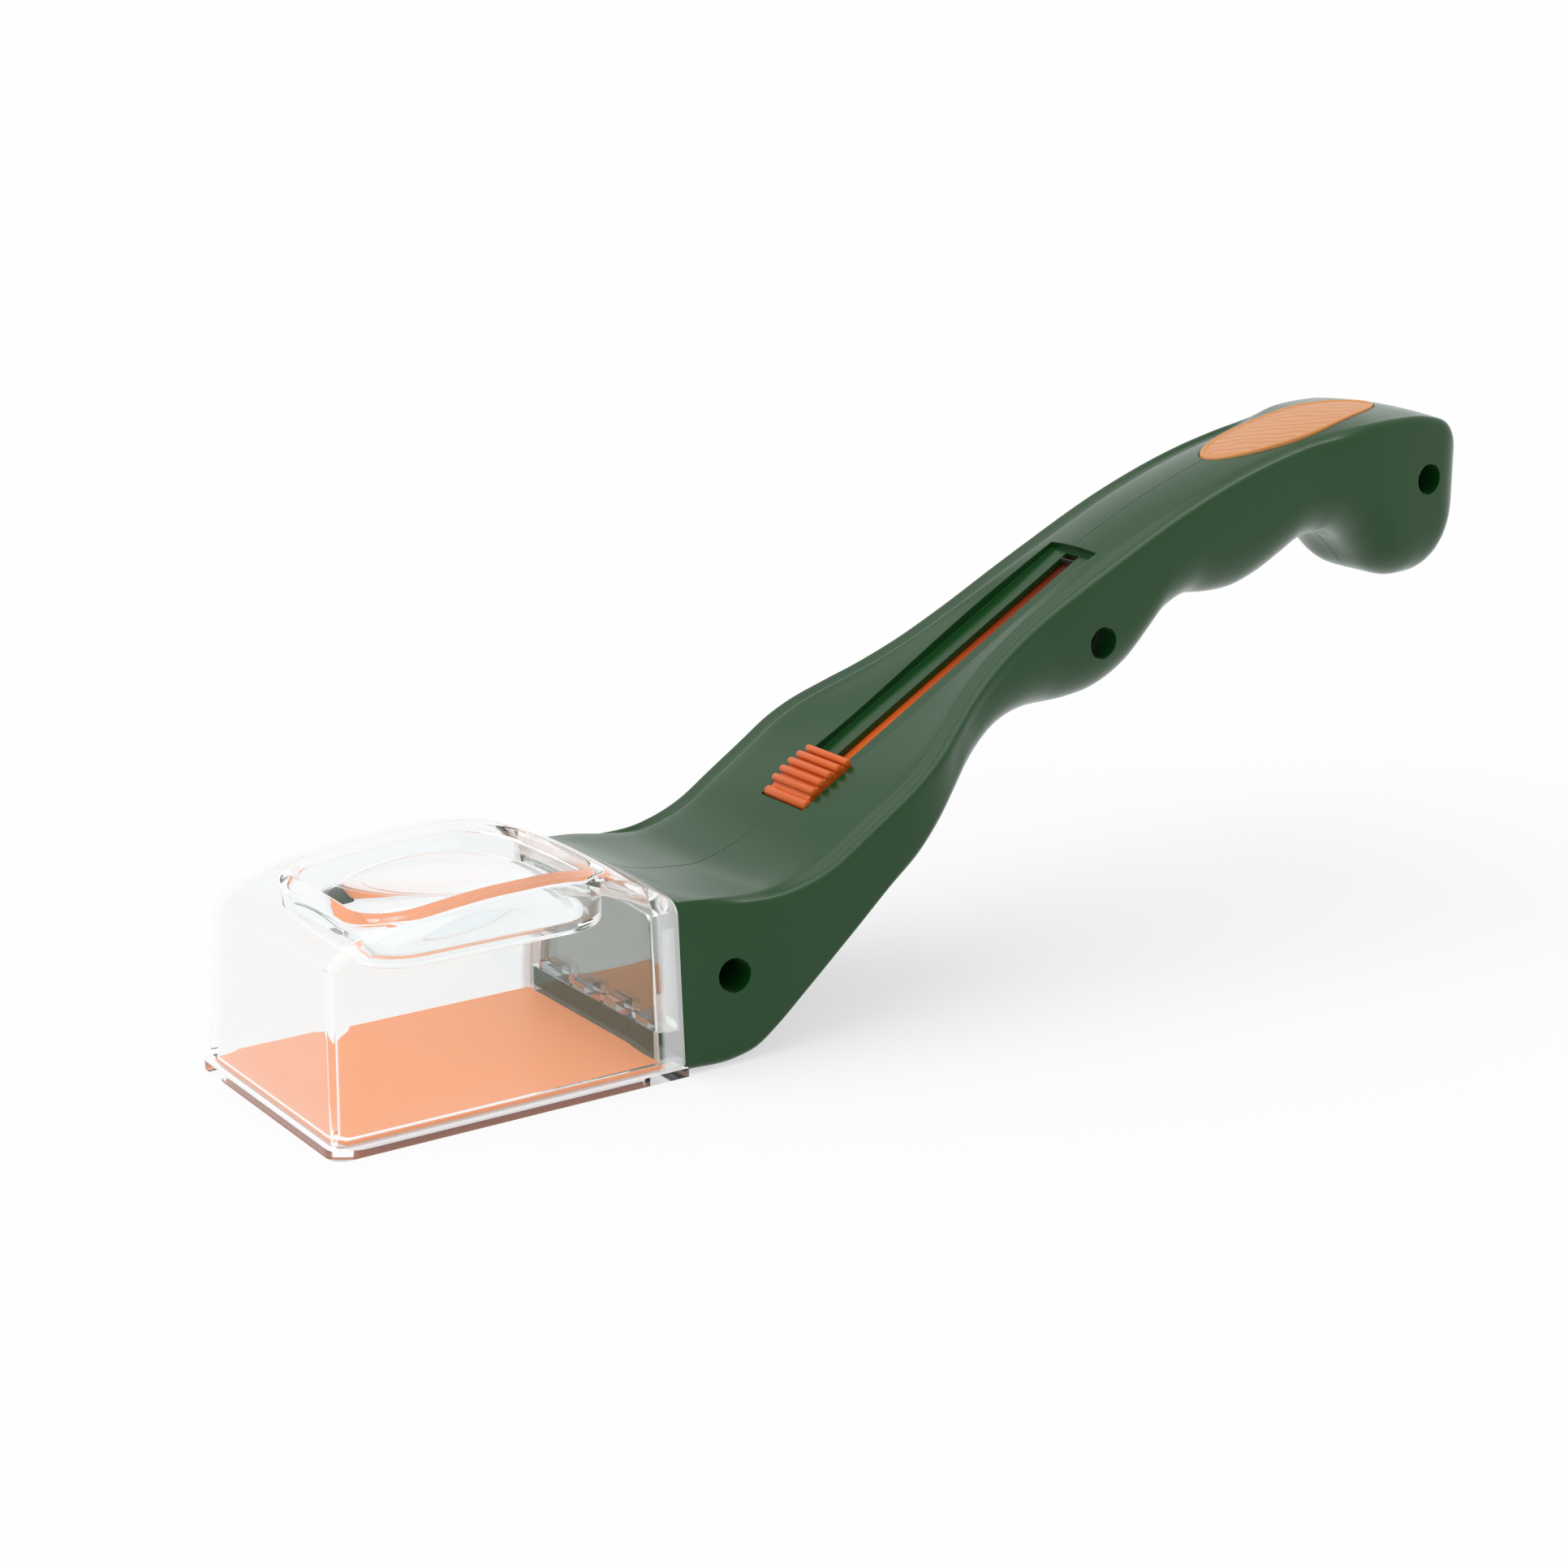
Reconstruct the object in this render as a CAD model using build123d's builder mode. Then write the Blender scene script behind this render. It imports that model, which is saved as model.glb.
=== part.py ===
from build123d import *
import os
from math import asin, atan2, cos, degrees, radians, sin, sqrt

os.makedirs("parts", exist_ok=True)

# Insect catcher, in millimetres. X runs from the clear chamber to the end of the handle, Y is across,
# Z is up. The origin is under the middle of the whole object, on the surface it stands on.

# Driving dimensions
chamber_length = 75.0
chamber_width = 57.6
handle_length = 217.0
handle_height = 107.4
wall = 2.0
running_gap = 0.3
fit_gap = 0.1
cut_over = 5.0

chamber_crown_height = 0.3966 * handle_height
handle_width = chamber_width + 2 * fit_gap + 0.2
slide_travel = chamber_length - 3.0
front_x = -(chamber_length + handle_length) / 2
joint_x = front_x + chamber_length

# Clear chamber
chamber_wall = 3.0
chamber_top_wall = 2.2
side_lean = 3.0
front_lean = 1.8
corner_radius = 3.2
edge_round = 2.6
inner_corner = 1.2
crown_across = 1.2
arch_shares = (
    (0.000, 0.806), (0.180, 0.932), (0.360, 0.978), (0.560, 1.002), (0.730, 0.995), (0.857, 0.937),
    (1.000, 0.806),
)  # fmt: skip
rim_flange = 0.75
rim_height = 1.8
track_depth = 1.1
mouth_margin = 1.3
rear_frame_length = 4.6
rear_frame_wall = 4.4
panel_thickness = 2.2
panel_gap = 0.4
panel_rabbet = 1.0
sill_height = 5.4
step_height = 1.8
step_width = 6.0
step_pitch = 12.0
step_count = 4

# Shutter
sheet_thickness = 0.8
sheet_gap = 0.2
sheet_z = rim_height + sheet_gap + sheet_thickness / 2
track_height = sheet_thickness + 2 * sheet_gap

# Lens and its recess
recess_front = 0.1867 * chamber_length
recess_length = 0.6533 * chamber_length
recess_width = 0.6944 * chamber_width
recess_corner = 9.0
recess_wall = 1.8
recess_floor_z = 0.7606 * chamber_crown_height
ledge_width = 2.9
ledge_height = 1.6
lens_gap = 1.5
lens_length = recess_length - 2 * lens_gap
lens_width = recess_width - 2 * lens_gap
lens_radius = lens_length
lens_edge = 1.6

# Handle outlines: along is a share of handle_length from the joint, up a share of handle_height
top_edge_shares = (
    (0.000, 0.318), (0.032, 0.313), (0.065, 0.305), (0.097, 0.300), (0.129, 0.311), (0.161, 0.336),
    (0.194, 0.378), (0.235, 0.432), (0.281, 0.496), (0.346, 0.575), (0.438, 0.682), (0.530, 0.776),
    (0.622, 0.862), (0.714, 0.928), (0.806, 0.972), (0.871, 0.996), (0.922, 1.000), (0.968, 0.984),
    (1.000, 0.955),
)  # fmt: skip
crown_shares = (
    (0.000, 0.012), (0.023, -0.002), (0.050, -0.007), (0.092, -0.006), (0.129, 0.000), (0.170, 0.004),
    (0.230, 0.005), (0.320, 0.009), (0.530, 0.007), (0.750, 0.009), (1.000, 0.008),
)  # fmt: skip
underside_shares = (
    (0.000, 0.005), (0.055, 0.006), (0.076, 0.018), (0.097, 0.048), (0.129, 0.104), (0.180, 0.194),
    (0.230, 0.279), (0.281, 0.360), (0.313, 0.411), (0.341, 0.450), (0.373, 0.486), (0.406, 0.504),
    (0.438, 0.508), (0.470, 0.504), (0.502, 0.506), (0.530, 0.517), (0.562, 0.552), (0.585, 0.597),
    (0.604, 0.636), (0.627, 0.665), (0.654, 0.677), (0.682, 0.673), (0.710, 0.676), (0.737, 0.694),
    (0.765, 0.722), (0.790, 0.748), (0.815, 0.760), (0.843, 0.759), (0.868, 0.740), (0.885, 0.712),
    (0.903, 0.674), (0.925, 0.652), (0.950, 0.650), (0.975, 0.668), (1.000, 0.710),
)  # fmt: skip

# Handle half widths as shares of handle_width
top_half_shares = (
    (0.000, 0.440), (0.046, 0.448), (0.106, 0.457), (0.161, 0.464), (0.217, 0.471), (0.253, 0.471),
    (0.281, 0.448), (0.313, 0.388), (0.346, 0.321), (0.382, 0.269), (0.429, 0.236), (0.484, 0.229),
    (0.645, 0.229), (0.784, 0.228), (0.829, 0.243), (0.876, 0.263), (0.926, 0.272), (1.000, 0.268),
)  # fmt: skip
side_half_shares = (
    (0.000, 0.498), (0.106, 0.503), (0.217, 0.506), (0.253, 0.505), (0.281, 0.486), (0.313, 0.436),
    (0.346, 0.372), (0.382, 0.322), (0.429, 0.288), (0.484, 0.278), (0.645, 0.278), (0.784, 0.278),
    (0.829, 0.288), (0.876, 0.302), (0.926, 0.306), (1.000, 0.300),
)  # fmt: skip

# The raised top face has a cove and a bead along its edge; the shares say where they stand out
bead_width = 2.5
bead_drop = 3.0
cove_width = 0.5
cove_depth = 1.6
plain_width = 0.9
bead_shares = ((0.0, 0.0), (0.02, 0.0), (0.11, 1.0), (0.78, 1.0), (0.87, 0.0), (1.0, 0.0))
belly_shares = ((0.0, 0.0), (0.25, 0.0), (0.42, 1.0), (1.0, 1.0))
foot_corner = 2.0
grip_corner = 12.0
corner_shares = ((0.0, 0.0), (0.25, 0.1), (0.34, 0.5), (0.42, 0.9), (0.50, 1.0), (1.0, 1.0))
foot_wall_share = 0.6

end_round = 8.0
turn_step = 1e-4
stations = (
    0.0, 0.03, 0.062, 0.098, 0.14, 0.19, 0.235, 0.275, 0.31, 0.35, 0.39, 0.44, 0.49, 0.54, 0.585,
    0.63, 0.68, 0.735, 0.785, 0.835, 0.88, 0.925, 0.965, 1.0, 1.34, 1.67, 2.0,
)  # fmt: skip
hollow_stations = (wall / (handle_length - end_round), *stations[1:24], 1.3)

# Channel for the thumb slider
slot_front_share = (0.1959, 0.3669)
slot_rear_share = (0.544, 0.7815)
slot_front_x = joint_x + slot_front_share[0] * handle_length
slot_front_z = slot_front_share[1] * handle_height
slot_angle = degrees(
    atan2(
        (slot_rear_share[1] - slot_front_share[1]) * handle_height,
        (slot_rear_share[0] - slot_front_share[0]) * handle_length,
    )
)
channel_width = 0.2586 * handle_width
band_width = 0.8 * channel_width
slit_width = 4.4
slit_end = 0.4
floor_thickness = 1.2
channel_wall = 1.6
button_length = 14.5
button_gap = 0.4
slot_length = button_length + slide_travel + 2 * button_gap

# Thumb slider and what hangs from it
button_height = 2.9
button_front_height = 1.3
button_lift = 0.1
rib_count = 6
rib_radius = 0.7
rib_margin = 3.0
rib_overhang = 0.5
dome_height = 0.8
stem_gap = 0.5
stem_margin = 2.6
carriage_thickness = 2.2
carriage_width = channel_width + 3.0
carriage_margin = 0.6
band_drop = floor_thickness + running_gap + sheet_thickness / 2
band_gap = 0.05
carriage_screw_radius = 0.7
carriage_screw_head = 1.4
carriage_screw_head_height = 0.9
carriage_screw_length = 3.0
carriage_screw_pitch = 5.4
spring_thickness = 0.25
spring_width = 2.2
spring_rise = 0.75
spring_length = 9.0
spring_y = channel_width / 2 + 0.2

# Path of the shutter band through the neck
path_start = 2.0
lower_bend = 0.5176 * (slot_front_x - joint_x)
upper_bend = 0.588 * (slot_front_x - joint_x)
slope_start_run = -1.65
guide_thickness = 1.6
guide_gap = 0.4
guide_start_angle = 15.0
lower_guide_start_angle = 36.0
upper_guide_end_share = 0.72
tail_bend = 45.0
tail_rest_length = 30.0

# Screws and bosses: places along and up are shares of the handle's sizes
screw_places_shares = ((0.0535, 0.166), (0.518, 0.629), (0.943, 0.866))
well_radius = 3.5
well_floor = 6.0
boss_radius = 5.4
boss_reach_share = 0.036
screw_radius = 1.5
screw_head_radius = 2.9
screw_head_height = 2.2
screw_length = 16.0
screw_clearance = 0.25
recess_blade = 0.8
recess_depth = 1.2

# Lugs of the chamber that the front boss locks
lug_y = 0.3385 * chamber_width
lug_thickness = 2.6
lug_radius = 6.9
lug_low = 4.6
lug_high = 8.4

# Inlay at the end of the handle
inlay_centre_share = 0.819
inlay_length = 0.223 * handle_length
inlay_width = 0.345 * handle_width
inlay_thickness = 1.6
inlay_proud = 0.35

# Soft stops, wear strips and locating pins
stop_thickness = 0.35
strip_thickness = 0.2
strip_width = 1.6
strip_y = band_width / 2 - 1.4
pin_radius = 1.2
pin_length = 7.0
pin_boss_radius = 3.0
pin_boss_length = 10.0
pin_places_shares = ((0.253, 0.330), (0.700, 0.714))


def smooth(points, at):
    """Value at a place along a hand-drawn outline, by cubic pieces that pass through its points."""
    places = [p[0] for p in points]
    values = [p[1] for p in points]
    last = len(points) - 1
    i = max(k for k in range(last) if places[k] <= at or k == 0)
    steps = [places[k + 1] - places[k] for k in range(last)]
    rises = [(values[k + 1] - values[k]) / steps[k] for k in range(last)]

    def slope(k):
        if k == 0 or k == last:
            return rises[min(k, last - 1)]
        if rises[k - 1] * rises[k] <= 0:
            return 0.0
        return (rises[k - 1] * steps[k] + rises[k] * steps[k - 1]) / (steps[k - 1] + steps[k])

    t = (at - places[i]) / steps[i]
    a, b = slope(i) * steps[i], slope(i + 1) * steps[i]
    return (
        values[i] * (2 * t**3 - 3 * t**2 + 1)
        + values[i + 1] * (3 * t**2 - 2 * t**3)
        + a * (t**3 - 2 * t**2 + t)
        + b * (t**3 - t**2)
    )


def slope_factor(points, at):
    """How much longer a wall measures upright than square to an outline that slopes."""
    step_share = 0.01
    low, high = max(at - step_share, 0.0), min(at + step_share, 1.0)
    rise = (smooth(points, high) - smooth(points, low)) * handle_height
    return sqrt(1 + (rise / ((high - low) * handle_length)) ** 2)


def along(share):
    return joint_x + share * handle_length


def up(share):
    return share * handle_height


def top_z(share):
    """Height of the handle's top on its centre line."""
    return up(smooth(top_edge_shares, share) + smooth(crown_shares, share))


def handle_section(share, inset=0.0, lift=0.0):
    """Edges of the handle's cross-section at one station, right half from the top down, then mirrored."""
    edge_z = up(smooth(top_edge_shares, share)) + lift
    crown_z = top_z(share) + lift
    bottom = up(smooth(underside_shares, share))
    top_half = smooth(top_half_shares, share) * handle_width
    side_half = smooth(side_half_shares, share) * handle_width
    bead = smooth(bead_shares, share)
    belly = smooth(belly_shares, share)
    corner = foot_corner + (grip_corner - foot_corner) * smooth(corner_shares, share)
    start = 1 - end_round / handle_length
    if share > start:
        reach = (share - start) * handle_length
        shrink = end_round - sqrt(max(end_round**2 - reach**2, 0.0))
        edge_z, crown_z, bottom = edge_z - shrink, crown_z - shrink, bottom + shrink
        top_half, side_half = top_half - shrink, side_half - shrink
        corner = max(corner - shrink / 2, foot_corner)
    if inset:
        lean = slope_factor(top_edge_shares, share)
        under = inset * slope_factor(underside_shares, share)
        thin = foot_wall_share + (1 - foot_wall_share) * min(bottom / foot_corner / 2, 1.0)
        edge_z, crown_z = edge_z - inset * lean - cove_depth * bead, crown_z - inset * lean
        bottom = bottom + under * thin
        top_half, side_half = top_half - inset * (1 - bead / 2), side_half - inset
        bead = 0.0
    shoulder = plain_width + (bead_width - plain_width) * max(bead, belly)
    shoulder_z = edge_z - bead_drop
    cove = (
        top_half + cove_width * bead + shoulder * 0.75 * (1 - bead),
        edge_z - cove_depth * bead - bead_drop * 0.35 * (1 - bead),
    )
    flank = (
        top_half + (cove_width * bead + shoulder * (1 - bead)) * 0.7,
        edge_z - cove_width * bead / 2,
    )
    crest_z = edge_z - cove_depth * 0.55 * bead - bead_drop * 0.6 * (1 - bead)
    shoulder_y = min(top_half + shoulder, side_half)
    corner = min(corner, (shoulder_z - bottom) * 0.62)
    side_end_z = bottom + corner
    round_share = 0.55
    belly_y = belly * side_half + (1 - belly) * (shoulder_y + side_half) / 2
    bottom_y = side_half - corner
    right = [
        [(top_half, edge_z), flank, cove],
        [
            cove,
            (cove[0] + (shoulder_y - cove[0]) * 0.3, crest_z),
            (shoulder_y, crest_z),
            (shoulder_y, shoulder_z),
        ],
        [
            (shoulder_y, shoulder_z),
            (belly_y, shoulder_z - (shoulder_z - side_end_z) * 0.5),
            (side_half, side_end_z),
        ],
        [
            (side_half, side_end_z),
            (side_half, side_end_z - corner * round_share),
            (bottom_y + corner * round_share, bottom),
            (bottom_y, bottom),
        ],
    ]
    left = [[(-y, z) for y, z in reversed(edge)] for edge in reversed(right)]
    top = [(-top_half, edge_z), (0, 2 * crown_z - edge_z), (top_half, edge_z)]
    base = [(bottom_y, bottom), (0, bottom), (-bottom_y, bottom)]
    return [top, *right, base, *left]


def place(turn):
    """Share of the handle's length at one station: up to 1 along it, from 1 to 2 round its end."""
    start = 1 - end_round / handle_length
    if turn <= 1:
        return turn * start
    return start + (1 - start) * sin(radians(90 * (turn - 1)))


def skin_rows(turn, inset, lift):
    share = place(min(turn, 2 - turn_step))
    x = along(share)
    return [[Vector(x, *p) for p in edge] for edge in handle_section(share, inset, lift)]


def handle_block(turns, inset=0.0, lift=0.0):
    """Solid skinned through the handle's cross-sections with one patch per edge and bay."""
    faces = []
    for a, b in zip(turns, turns[1:]):
        step = (b - a) * turn_step
        rows = zip(*(skin_rows(t, inset, lift) for t in (a, a + step, b - step, b)))
        for edge in rows:
            patch = []
            for p, p_next, q_last, q in zip(*edge):
                patch.append(
                    [p, p + (p_next - p) / turn_step / 3, q - (q - q_last) / turn_step / 3, q]
                )
            faces.append(Face.make_bezier_surface(patch))
    for turn in (turns[0], turns[-1]):
        rim = [Bezier(*points) for points in skin_rows(turn, inset, lift)]
        faces.append(Face(Wire(rim)))
    return Solid(Shell(faces))


def slot_frame(run=0.0, rise=0.0):
    """Plane along the channel: X up the slope, Z square to the channel's floor, from its front end."""
    c, s = cos(radians(slot_angle)), sin(radians(slot_angle))
    origin = (slot_front_x + run * c - rise * s, 0, slot_front_z + run * s + rise * c)
    return Plane(origin=origin, x_dir=(c, 0, s), z_dir=(-s, 0, c))


def slot_side(y=0.0):
    """Plane on the channel's side: X up the slope, Y square to the floor."""
    c, s = cos(radians(slot_angle)), sin(radians(slot_angle))
    return Plane(origin=(slot_front_x, y, slot_front_z), x_dir=(c, 0, s), z_dir=(0, -1, 0))


def slot_bar(start, end, low, high, half_width, y=0.0):
    """Bar in the channel's frame, from low to high over its floor."""
    with BuildPart() as bar:
        with BuildSketch(slot_frame(start, low)):
            with Locations((0, y)):
                Rectangle(end - start, 2 * half_width, align=(Align.MIN, Align.CENTER))
        extrude(amount=high - low)
    return bar.part


def cross_rod(place_share, radius, start_y, end_y):
    """Round bar across the handle at one of the screw or pin places."""
    with BuildPart() as rod:
        with BuildSketch(Plane.XZ.offset(-end_y)):
            with Locations((along(place_share[0]), up(place_share[1]))):
                Circle(radius)
        extrude(amount=end_y - start_y)
    return rod.part


# The band's path: flat, a bend up, a straight, a bend back, along the channel, and a bend to level
slope_rad = radians(slot_angle)
slope_start = (
    slot_front_x + slope_start_run * cos(slope_rad) + band_drop * sin(slope_rad),
    slot_front_z + slope_start_run * sin(slope_rad) - band_drop * cos(slope_rad),
)
lower_centre = (joint_x + path_start, sheet_z + lower_bend)
upper_centre = (
    slope_start[0] + upper_bend * sin(slope_rad),
    slope_start[1] - upper_bend * cos(slope_rad),
)
between = (upper_centre[0] - lower_centre[0], upper_centre[1] - lower_centre[1])
spread = sqrt(between[0] ** 2 + between[1] ** 2)
neck_rad = atan2(between[1], between[0]) + asin((lower_bend + upper_bend) / spread)
neck_straight = sqrt(spread**2 - (lower_bend + upper_bend) ** 2)
lower_end = (
    lower_centre[0] + lower_bend * sin(neck_rad),
    lower_centre[1] - lower_bend * cos(neck_rad),
)
slope_length = slot_length - slope_start_run
tail_start = (
    slope_start[0] + slope_length * cos(slope_rad),
    slope_start[1] + slope_length * sin(slope_rad),
)
tail_centre = (
    tail_start[0] + tail_bend * sin(slope_rad),
    tail_start[1] - tail_bend * cos(slope_rad),
)
flat_length = chamber_length + path_start
path_cuts = [flat_length]
for step in (
    lower_bend * neck_rad,
    neck_straight,
    upper_bend * (neck_rad - slope_rad),
    slope_length,
    tail_bend * slope_rad,
):
    path_cuts.append(path_cuts[-1] + step)


def path_point(s, n=0.0):
    """Point of the band's path at distance s from the chamber's front, n above the path."""
    if s <= path_cuts[0]:
        return (front_x + s, sheet_z + n)
    if s <= path_cuts[1]:
        turn = (s - path_cuts[0]) / lower_bend
        r = lower_bend - n
        return (lower_centre[0] + r * sin(turn), lower_centre[1] - r * cos(turn))
    if s <= path_cuts[2]:
        d = s - path_cuts[1]
        x, z = lower_end[0] + d * cos(neck_rad), lower_end[1] + d * sin(neck_rad)
        return (x - n * sin(neck_rad), z + n * cos(neck_rad))
    if s <= path_cuts[3]:
        turn = neck_rad - (s - path_cuts[2]) / upper_bend
        r = upper_bend + n
        return (upper_centre[0] - r * sin(turn), upper_centre[1] + r * cos(turn))
    if s <= path_cuts[4]:
        d = s - path_cuts[3]
        x, z = slope_start[0] + d * cos(slope_rad), slope_start[1] + d * sin(slope_rad)
        return (x - n * sin(slope_rad), z + n * cos(slope_rad))
    turn = slope_rad - (s - path_cuts[4]) / tail_bend
    if turn >= 0:
        r = tail_bend + n
        return (tail_centre[0] - r * sin(turn), tail_centre[1] + r * cos(turn))
    return (tail_centre[0] + s - path_cuts[5], tail_centre[1] + tail_bend + n)


def path_plate(start, end, low, high, half_width):
    """Plate that follows the band's path between two distances, from low to high above it."""
    cuts = [start, *[c for c in path_cuts if start < c < end], end]
    with BuildPart() as plate:
        with BuildSketch(Plane.XZ):
            with BuildLine():
                for n in (low, high):
                    for a, b in zip(cuts, cuts[1:]):
                        first, last = path_point(a, n), path_point(b, n)
                        middle = path_point((a + b) / 2, n)
                        bend = (middle[0] - first[0]) * (last[1] - first[1]) - (
                            middle[1] - first[1]
                        ) * (last[0] - first[0])
                        if abs(bend) < turn_step:
                            Line(first, last)
                        else:
                            ThreePointArc(first, middle, last)
                Line(path_point(start, low), path_point(start, high))
                Line(path_point(end, low), path_point(end, high))
            make_face()
        extrude(amount=half_width, both=True)
    return plate.part


def chamber_prism(inset, low, high, start, end):
    """Upright block with the chamber's leaning walls, between two heights."""
    with BuildPart() as prism:
        for z in (low, high):
            lean = z / chamber_crown_height
            half = chamber_width / 2 - side_lean * lean - inset
            first = front_x + rim_flange + front_lean * lean + start + inset
            radius = max(corner_radius - inset, inner_corner)
            with BuildSketch(Plane.XY.offset(z)) as outline:
                with Locations(((first + end) / 2, 0)):
                    Rectangle(end - first, 2 * half)
                fillet(outline.vertices().group_by(Axis.X)[0], radius)
        loft(ruled=True)
    return prism.part


def arch_block(drop, start, end):
    """Block under the chamber's arched top, curved both ways."""
    half = chamber_width / 2 - side_lean
    radius = (half**2 + crown_across**2) / (2 * crown_across)
    spine_z = chamber_crown_height + crown_across - radius
    spine = Axis((0, 0, spine_z), (1, 0, 0))
    reach = degrees(asin(chamber_width / 2 / radius)) + 1
    with BuildPart() as block:
        with BuildSketch(Plane.XZ):
            with BuildLine():
                arch = Spline(
                    *[
                        (
                            front_x + share * chamber_length,
                            height * chamber_crown_height + crown_across - drop,
                        )
                        for share, height in arch_shares
                    ]
                )
                Polyline(arch @ 1, (arch.position_at(1).X, -cut_over), (front_x, -cut_over), arch @ 0)
            make_face()
        revolve(axis=spine, revolution_arc=2 * reach)
    turned = block.part.rotate(spine, -reach)
    with BuildPart() as trimmed:
        add(turned)
        with BuildSketch(Plane.YZ.offset(start)):
            Rectangle(2 * chamber_width, 4 * chamber_width)
        extrude(amount=end - start, mode=Mode.INTERSECT)
    return trimmed.part


def chamber_form(inset, drop, low, start, end):
    """The chamber's outer form moved in by inset at the walls and by drop at the top."""
    return chamber_prism(inset, low, high_z, 0, end) & arch_block(drop, start, end)


def rounded_block(x, length, width, radius, low, high):
    """Upright block with round corners, centred on the middle plane."""
    with BuildPart() as block:
        with BuildSketch(Plane.XY.offset(low)):
            with Locations((x, 0)):
                RectangleRounded(length, width, radius)
        extrude(amount=high - low)
    return block.part


def wall_slot(low, high, half_width, length):
    """Flat opening through the front wall of the handle or the rear of the chamber."""
    with BuildPart() as slot:
        with BuildSketch(Plane.YZ.offset(joint_x)):
            with Locations((0, (low + high) / 2)):
                Rectangle(2 * half_width, high - low)
        extrude(amount=length, both=True)
    return slot.part


def handle_turn(share):
    """Station that belongs to one share of the handle's length."""
    start = 1 - end_round / handle_length
    if share <= start:
        return share / start
    return 1 + degrees(asin((share - start) / (1 - start))) / 90


def local_block(share, reach, inset):
    """Short length of the handle's solid about one share of its length."""
    low = max(handle_turn(share - reach), stations[1] / 2)
    high = handle_turn(share + reach)
    turns = {low, handle_turn(share), high}
    if low < 1 < high:
        turns.add(1.0)
    return handle_block(sorted(turns), inset)


high_z = chamber_crown_height + crown_across + cut_over
rear_start_x = joint_x - rear_frame_length
panel_x = joint_x - panel_gap - panel_thickness
track_top = rim_height + track_height
sill_top = track_top + sill_height
track_half = chamber_width / 2 - chamber_wall + track_depth
recess_x = front_x + recess_front + recess_length / 2

# Clear chamber with its lens recess, rear frame, sill and lugs
with BuildPart() as chamber:
    add(chamber_form(0, 0, rim_height, front_x, joint_x))
    top_edges = chamber.edges().filter_by(
        lambda edge: edge.center().Z > recess_floor_z and edge.center().X < joint_x - wall
    )
    fillet(top_edges, edge_round)
    add(chamber_form(chamber_wall, chamber_top_wall, 0, front_x, rear_start_x), mode=Mode.SUBTRACT)
    add(
        chamber_form(rear_frame_wall, rear_frame_wall, sill_top, rear_start_x, joint_x),
        mode=Mode.SUBTRACT,
    )
    rabbet = rear_frame_wall - panel_rabbet
    add(chamber_form(rabbet, rabbet, sill_top, panel_x, joint_x), mode=Mode.SUBTRACT)
    # grooves the shutter runs in
    track_start = front_x + rim_flange + chamber_wall - track_depth
    with BuildSketch(Plane.XY.offset(rim_height)):
        with Locations((track_start, 0)):
            Rectangle(joint_x - track_start, 2 * track_half, align=(Align.MIN, Align.CENTER))
    extrude(amount=track_height, mode=Mode.SUBTRACT)
    # recess that holds the lens
    add(
        rounded_block(
            recess_x,
            recess_length + 2 * recess_wall,
            recess_width + 2 * recess_wall,
            recess_corner + recess_wall,
            recess_floor_z - ledge_height,
            high_z,
        )
        & arch_block(chamber_top_wall / 2, front_x, joint_x)
    )
    add(
        rounded_block(recess_x, recess_length, recess_width, recess_corner, recess_floor_z, high_z),
        mode=Mode.SUBTRACT,
    )
    add(
        rounded_block(
            recess_x,
            recess_length - 2 * ledge_width,
            recess_width - 2 * ledge_width,
            recess_corner - ledge_width,
            recess_floor_z - 2 * ledge_height,
            recess_floor_z + ledge_height,
        ),
        mode=Mode.SUBTRACT,
    )
    # steps on the sill under the rear panel
    with BuildSketch(Plane.XY.offset(sill_top)):
        with Locations(((rear_start_x + panel_x) / 2, 0)):
            with GridLocations(0, step_pitch, 1, step_count):
                Rectangle(panel_x - rear_start_x, step_width)
    extrude(amount=step_height)
    # lugs that lock round the front boss of the handle
    lug_x, lug_z = along(screw_places_shares[0][0]), up(screw_places_shares[0][1])
    with BuildSketch(Plane.XZ.offset(-lug_y), Plane.XZ.offset(lug_y)):
        Polygon(
            (rear_start_x, lug_low),
            (joint_x + 1.5 * wall, lug_low),
            (lug_x + wall, lug_z - lug_radius + fit_gap),
            (lug_x - lug_radius / 2, lug_z + lug_radius / 2),
            (joint_x + 1.2 * wall, lug_high),
            (rear_start_x, lug_high),
            align=None,
        )
        with Locations((lug_x, lug_z)):
            Circle(lug_radius)
            Circle(boss_radius + fit_gap, mode=Mode.SUBTRACT)
    extrude(amount=lug_thickness / 2, both=True)
chamber.part.label = "chamber"
export_step(chamber.part, "parts/chamber.step")

# Clear frame round the mouth; the shutter slides on it
with BuildPart() as base_frame:
    with BuildSketch() as rim_outline:
        with Locations((front_x, 0)):
            Rectangle(
                chamber_length, chamber_width + 2 * rim_flange, align=(Align.MIN, Align.CENTER)
            )
        fillet(rim_outline.vertices().group_by(Axis.X)[0], corner_radius)
        mouth_start = front_x + rim_flange + chamber_wall + mouth_margin
        mouth_end = rear_start_x - mouth_margin
        with Locations(((mouth_start + mouth_end) / 2, 0)):
            RectangleRounded(
                mouth_end - mouth_start,
                chamber_width - 2 * chamber_wall - 2 * mouth_margin,
                corner_radius,
                mode=Mode.SUBTRACT,
            )
    extrude(amount=rim_height)
base_frame.part.label = "base_frame"
export_step(base_frame.part, "parts/base_frame.step")

# Clear panel that closes the chamber toward the handle
with BuildPart() as rear_panel:
    inset = rear_frame_wall - panel_rabbet + fit_gap
    add(chamber_form(inset, inset, sill_top, panel_x, joint_x - panel_gap))
rear_panel.part.label = "rear_panel"
export_step(rear_panel.part, "parts/rear_panel.step")

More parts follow.
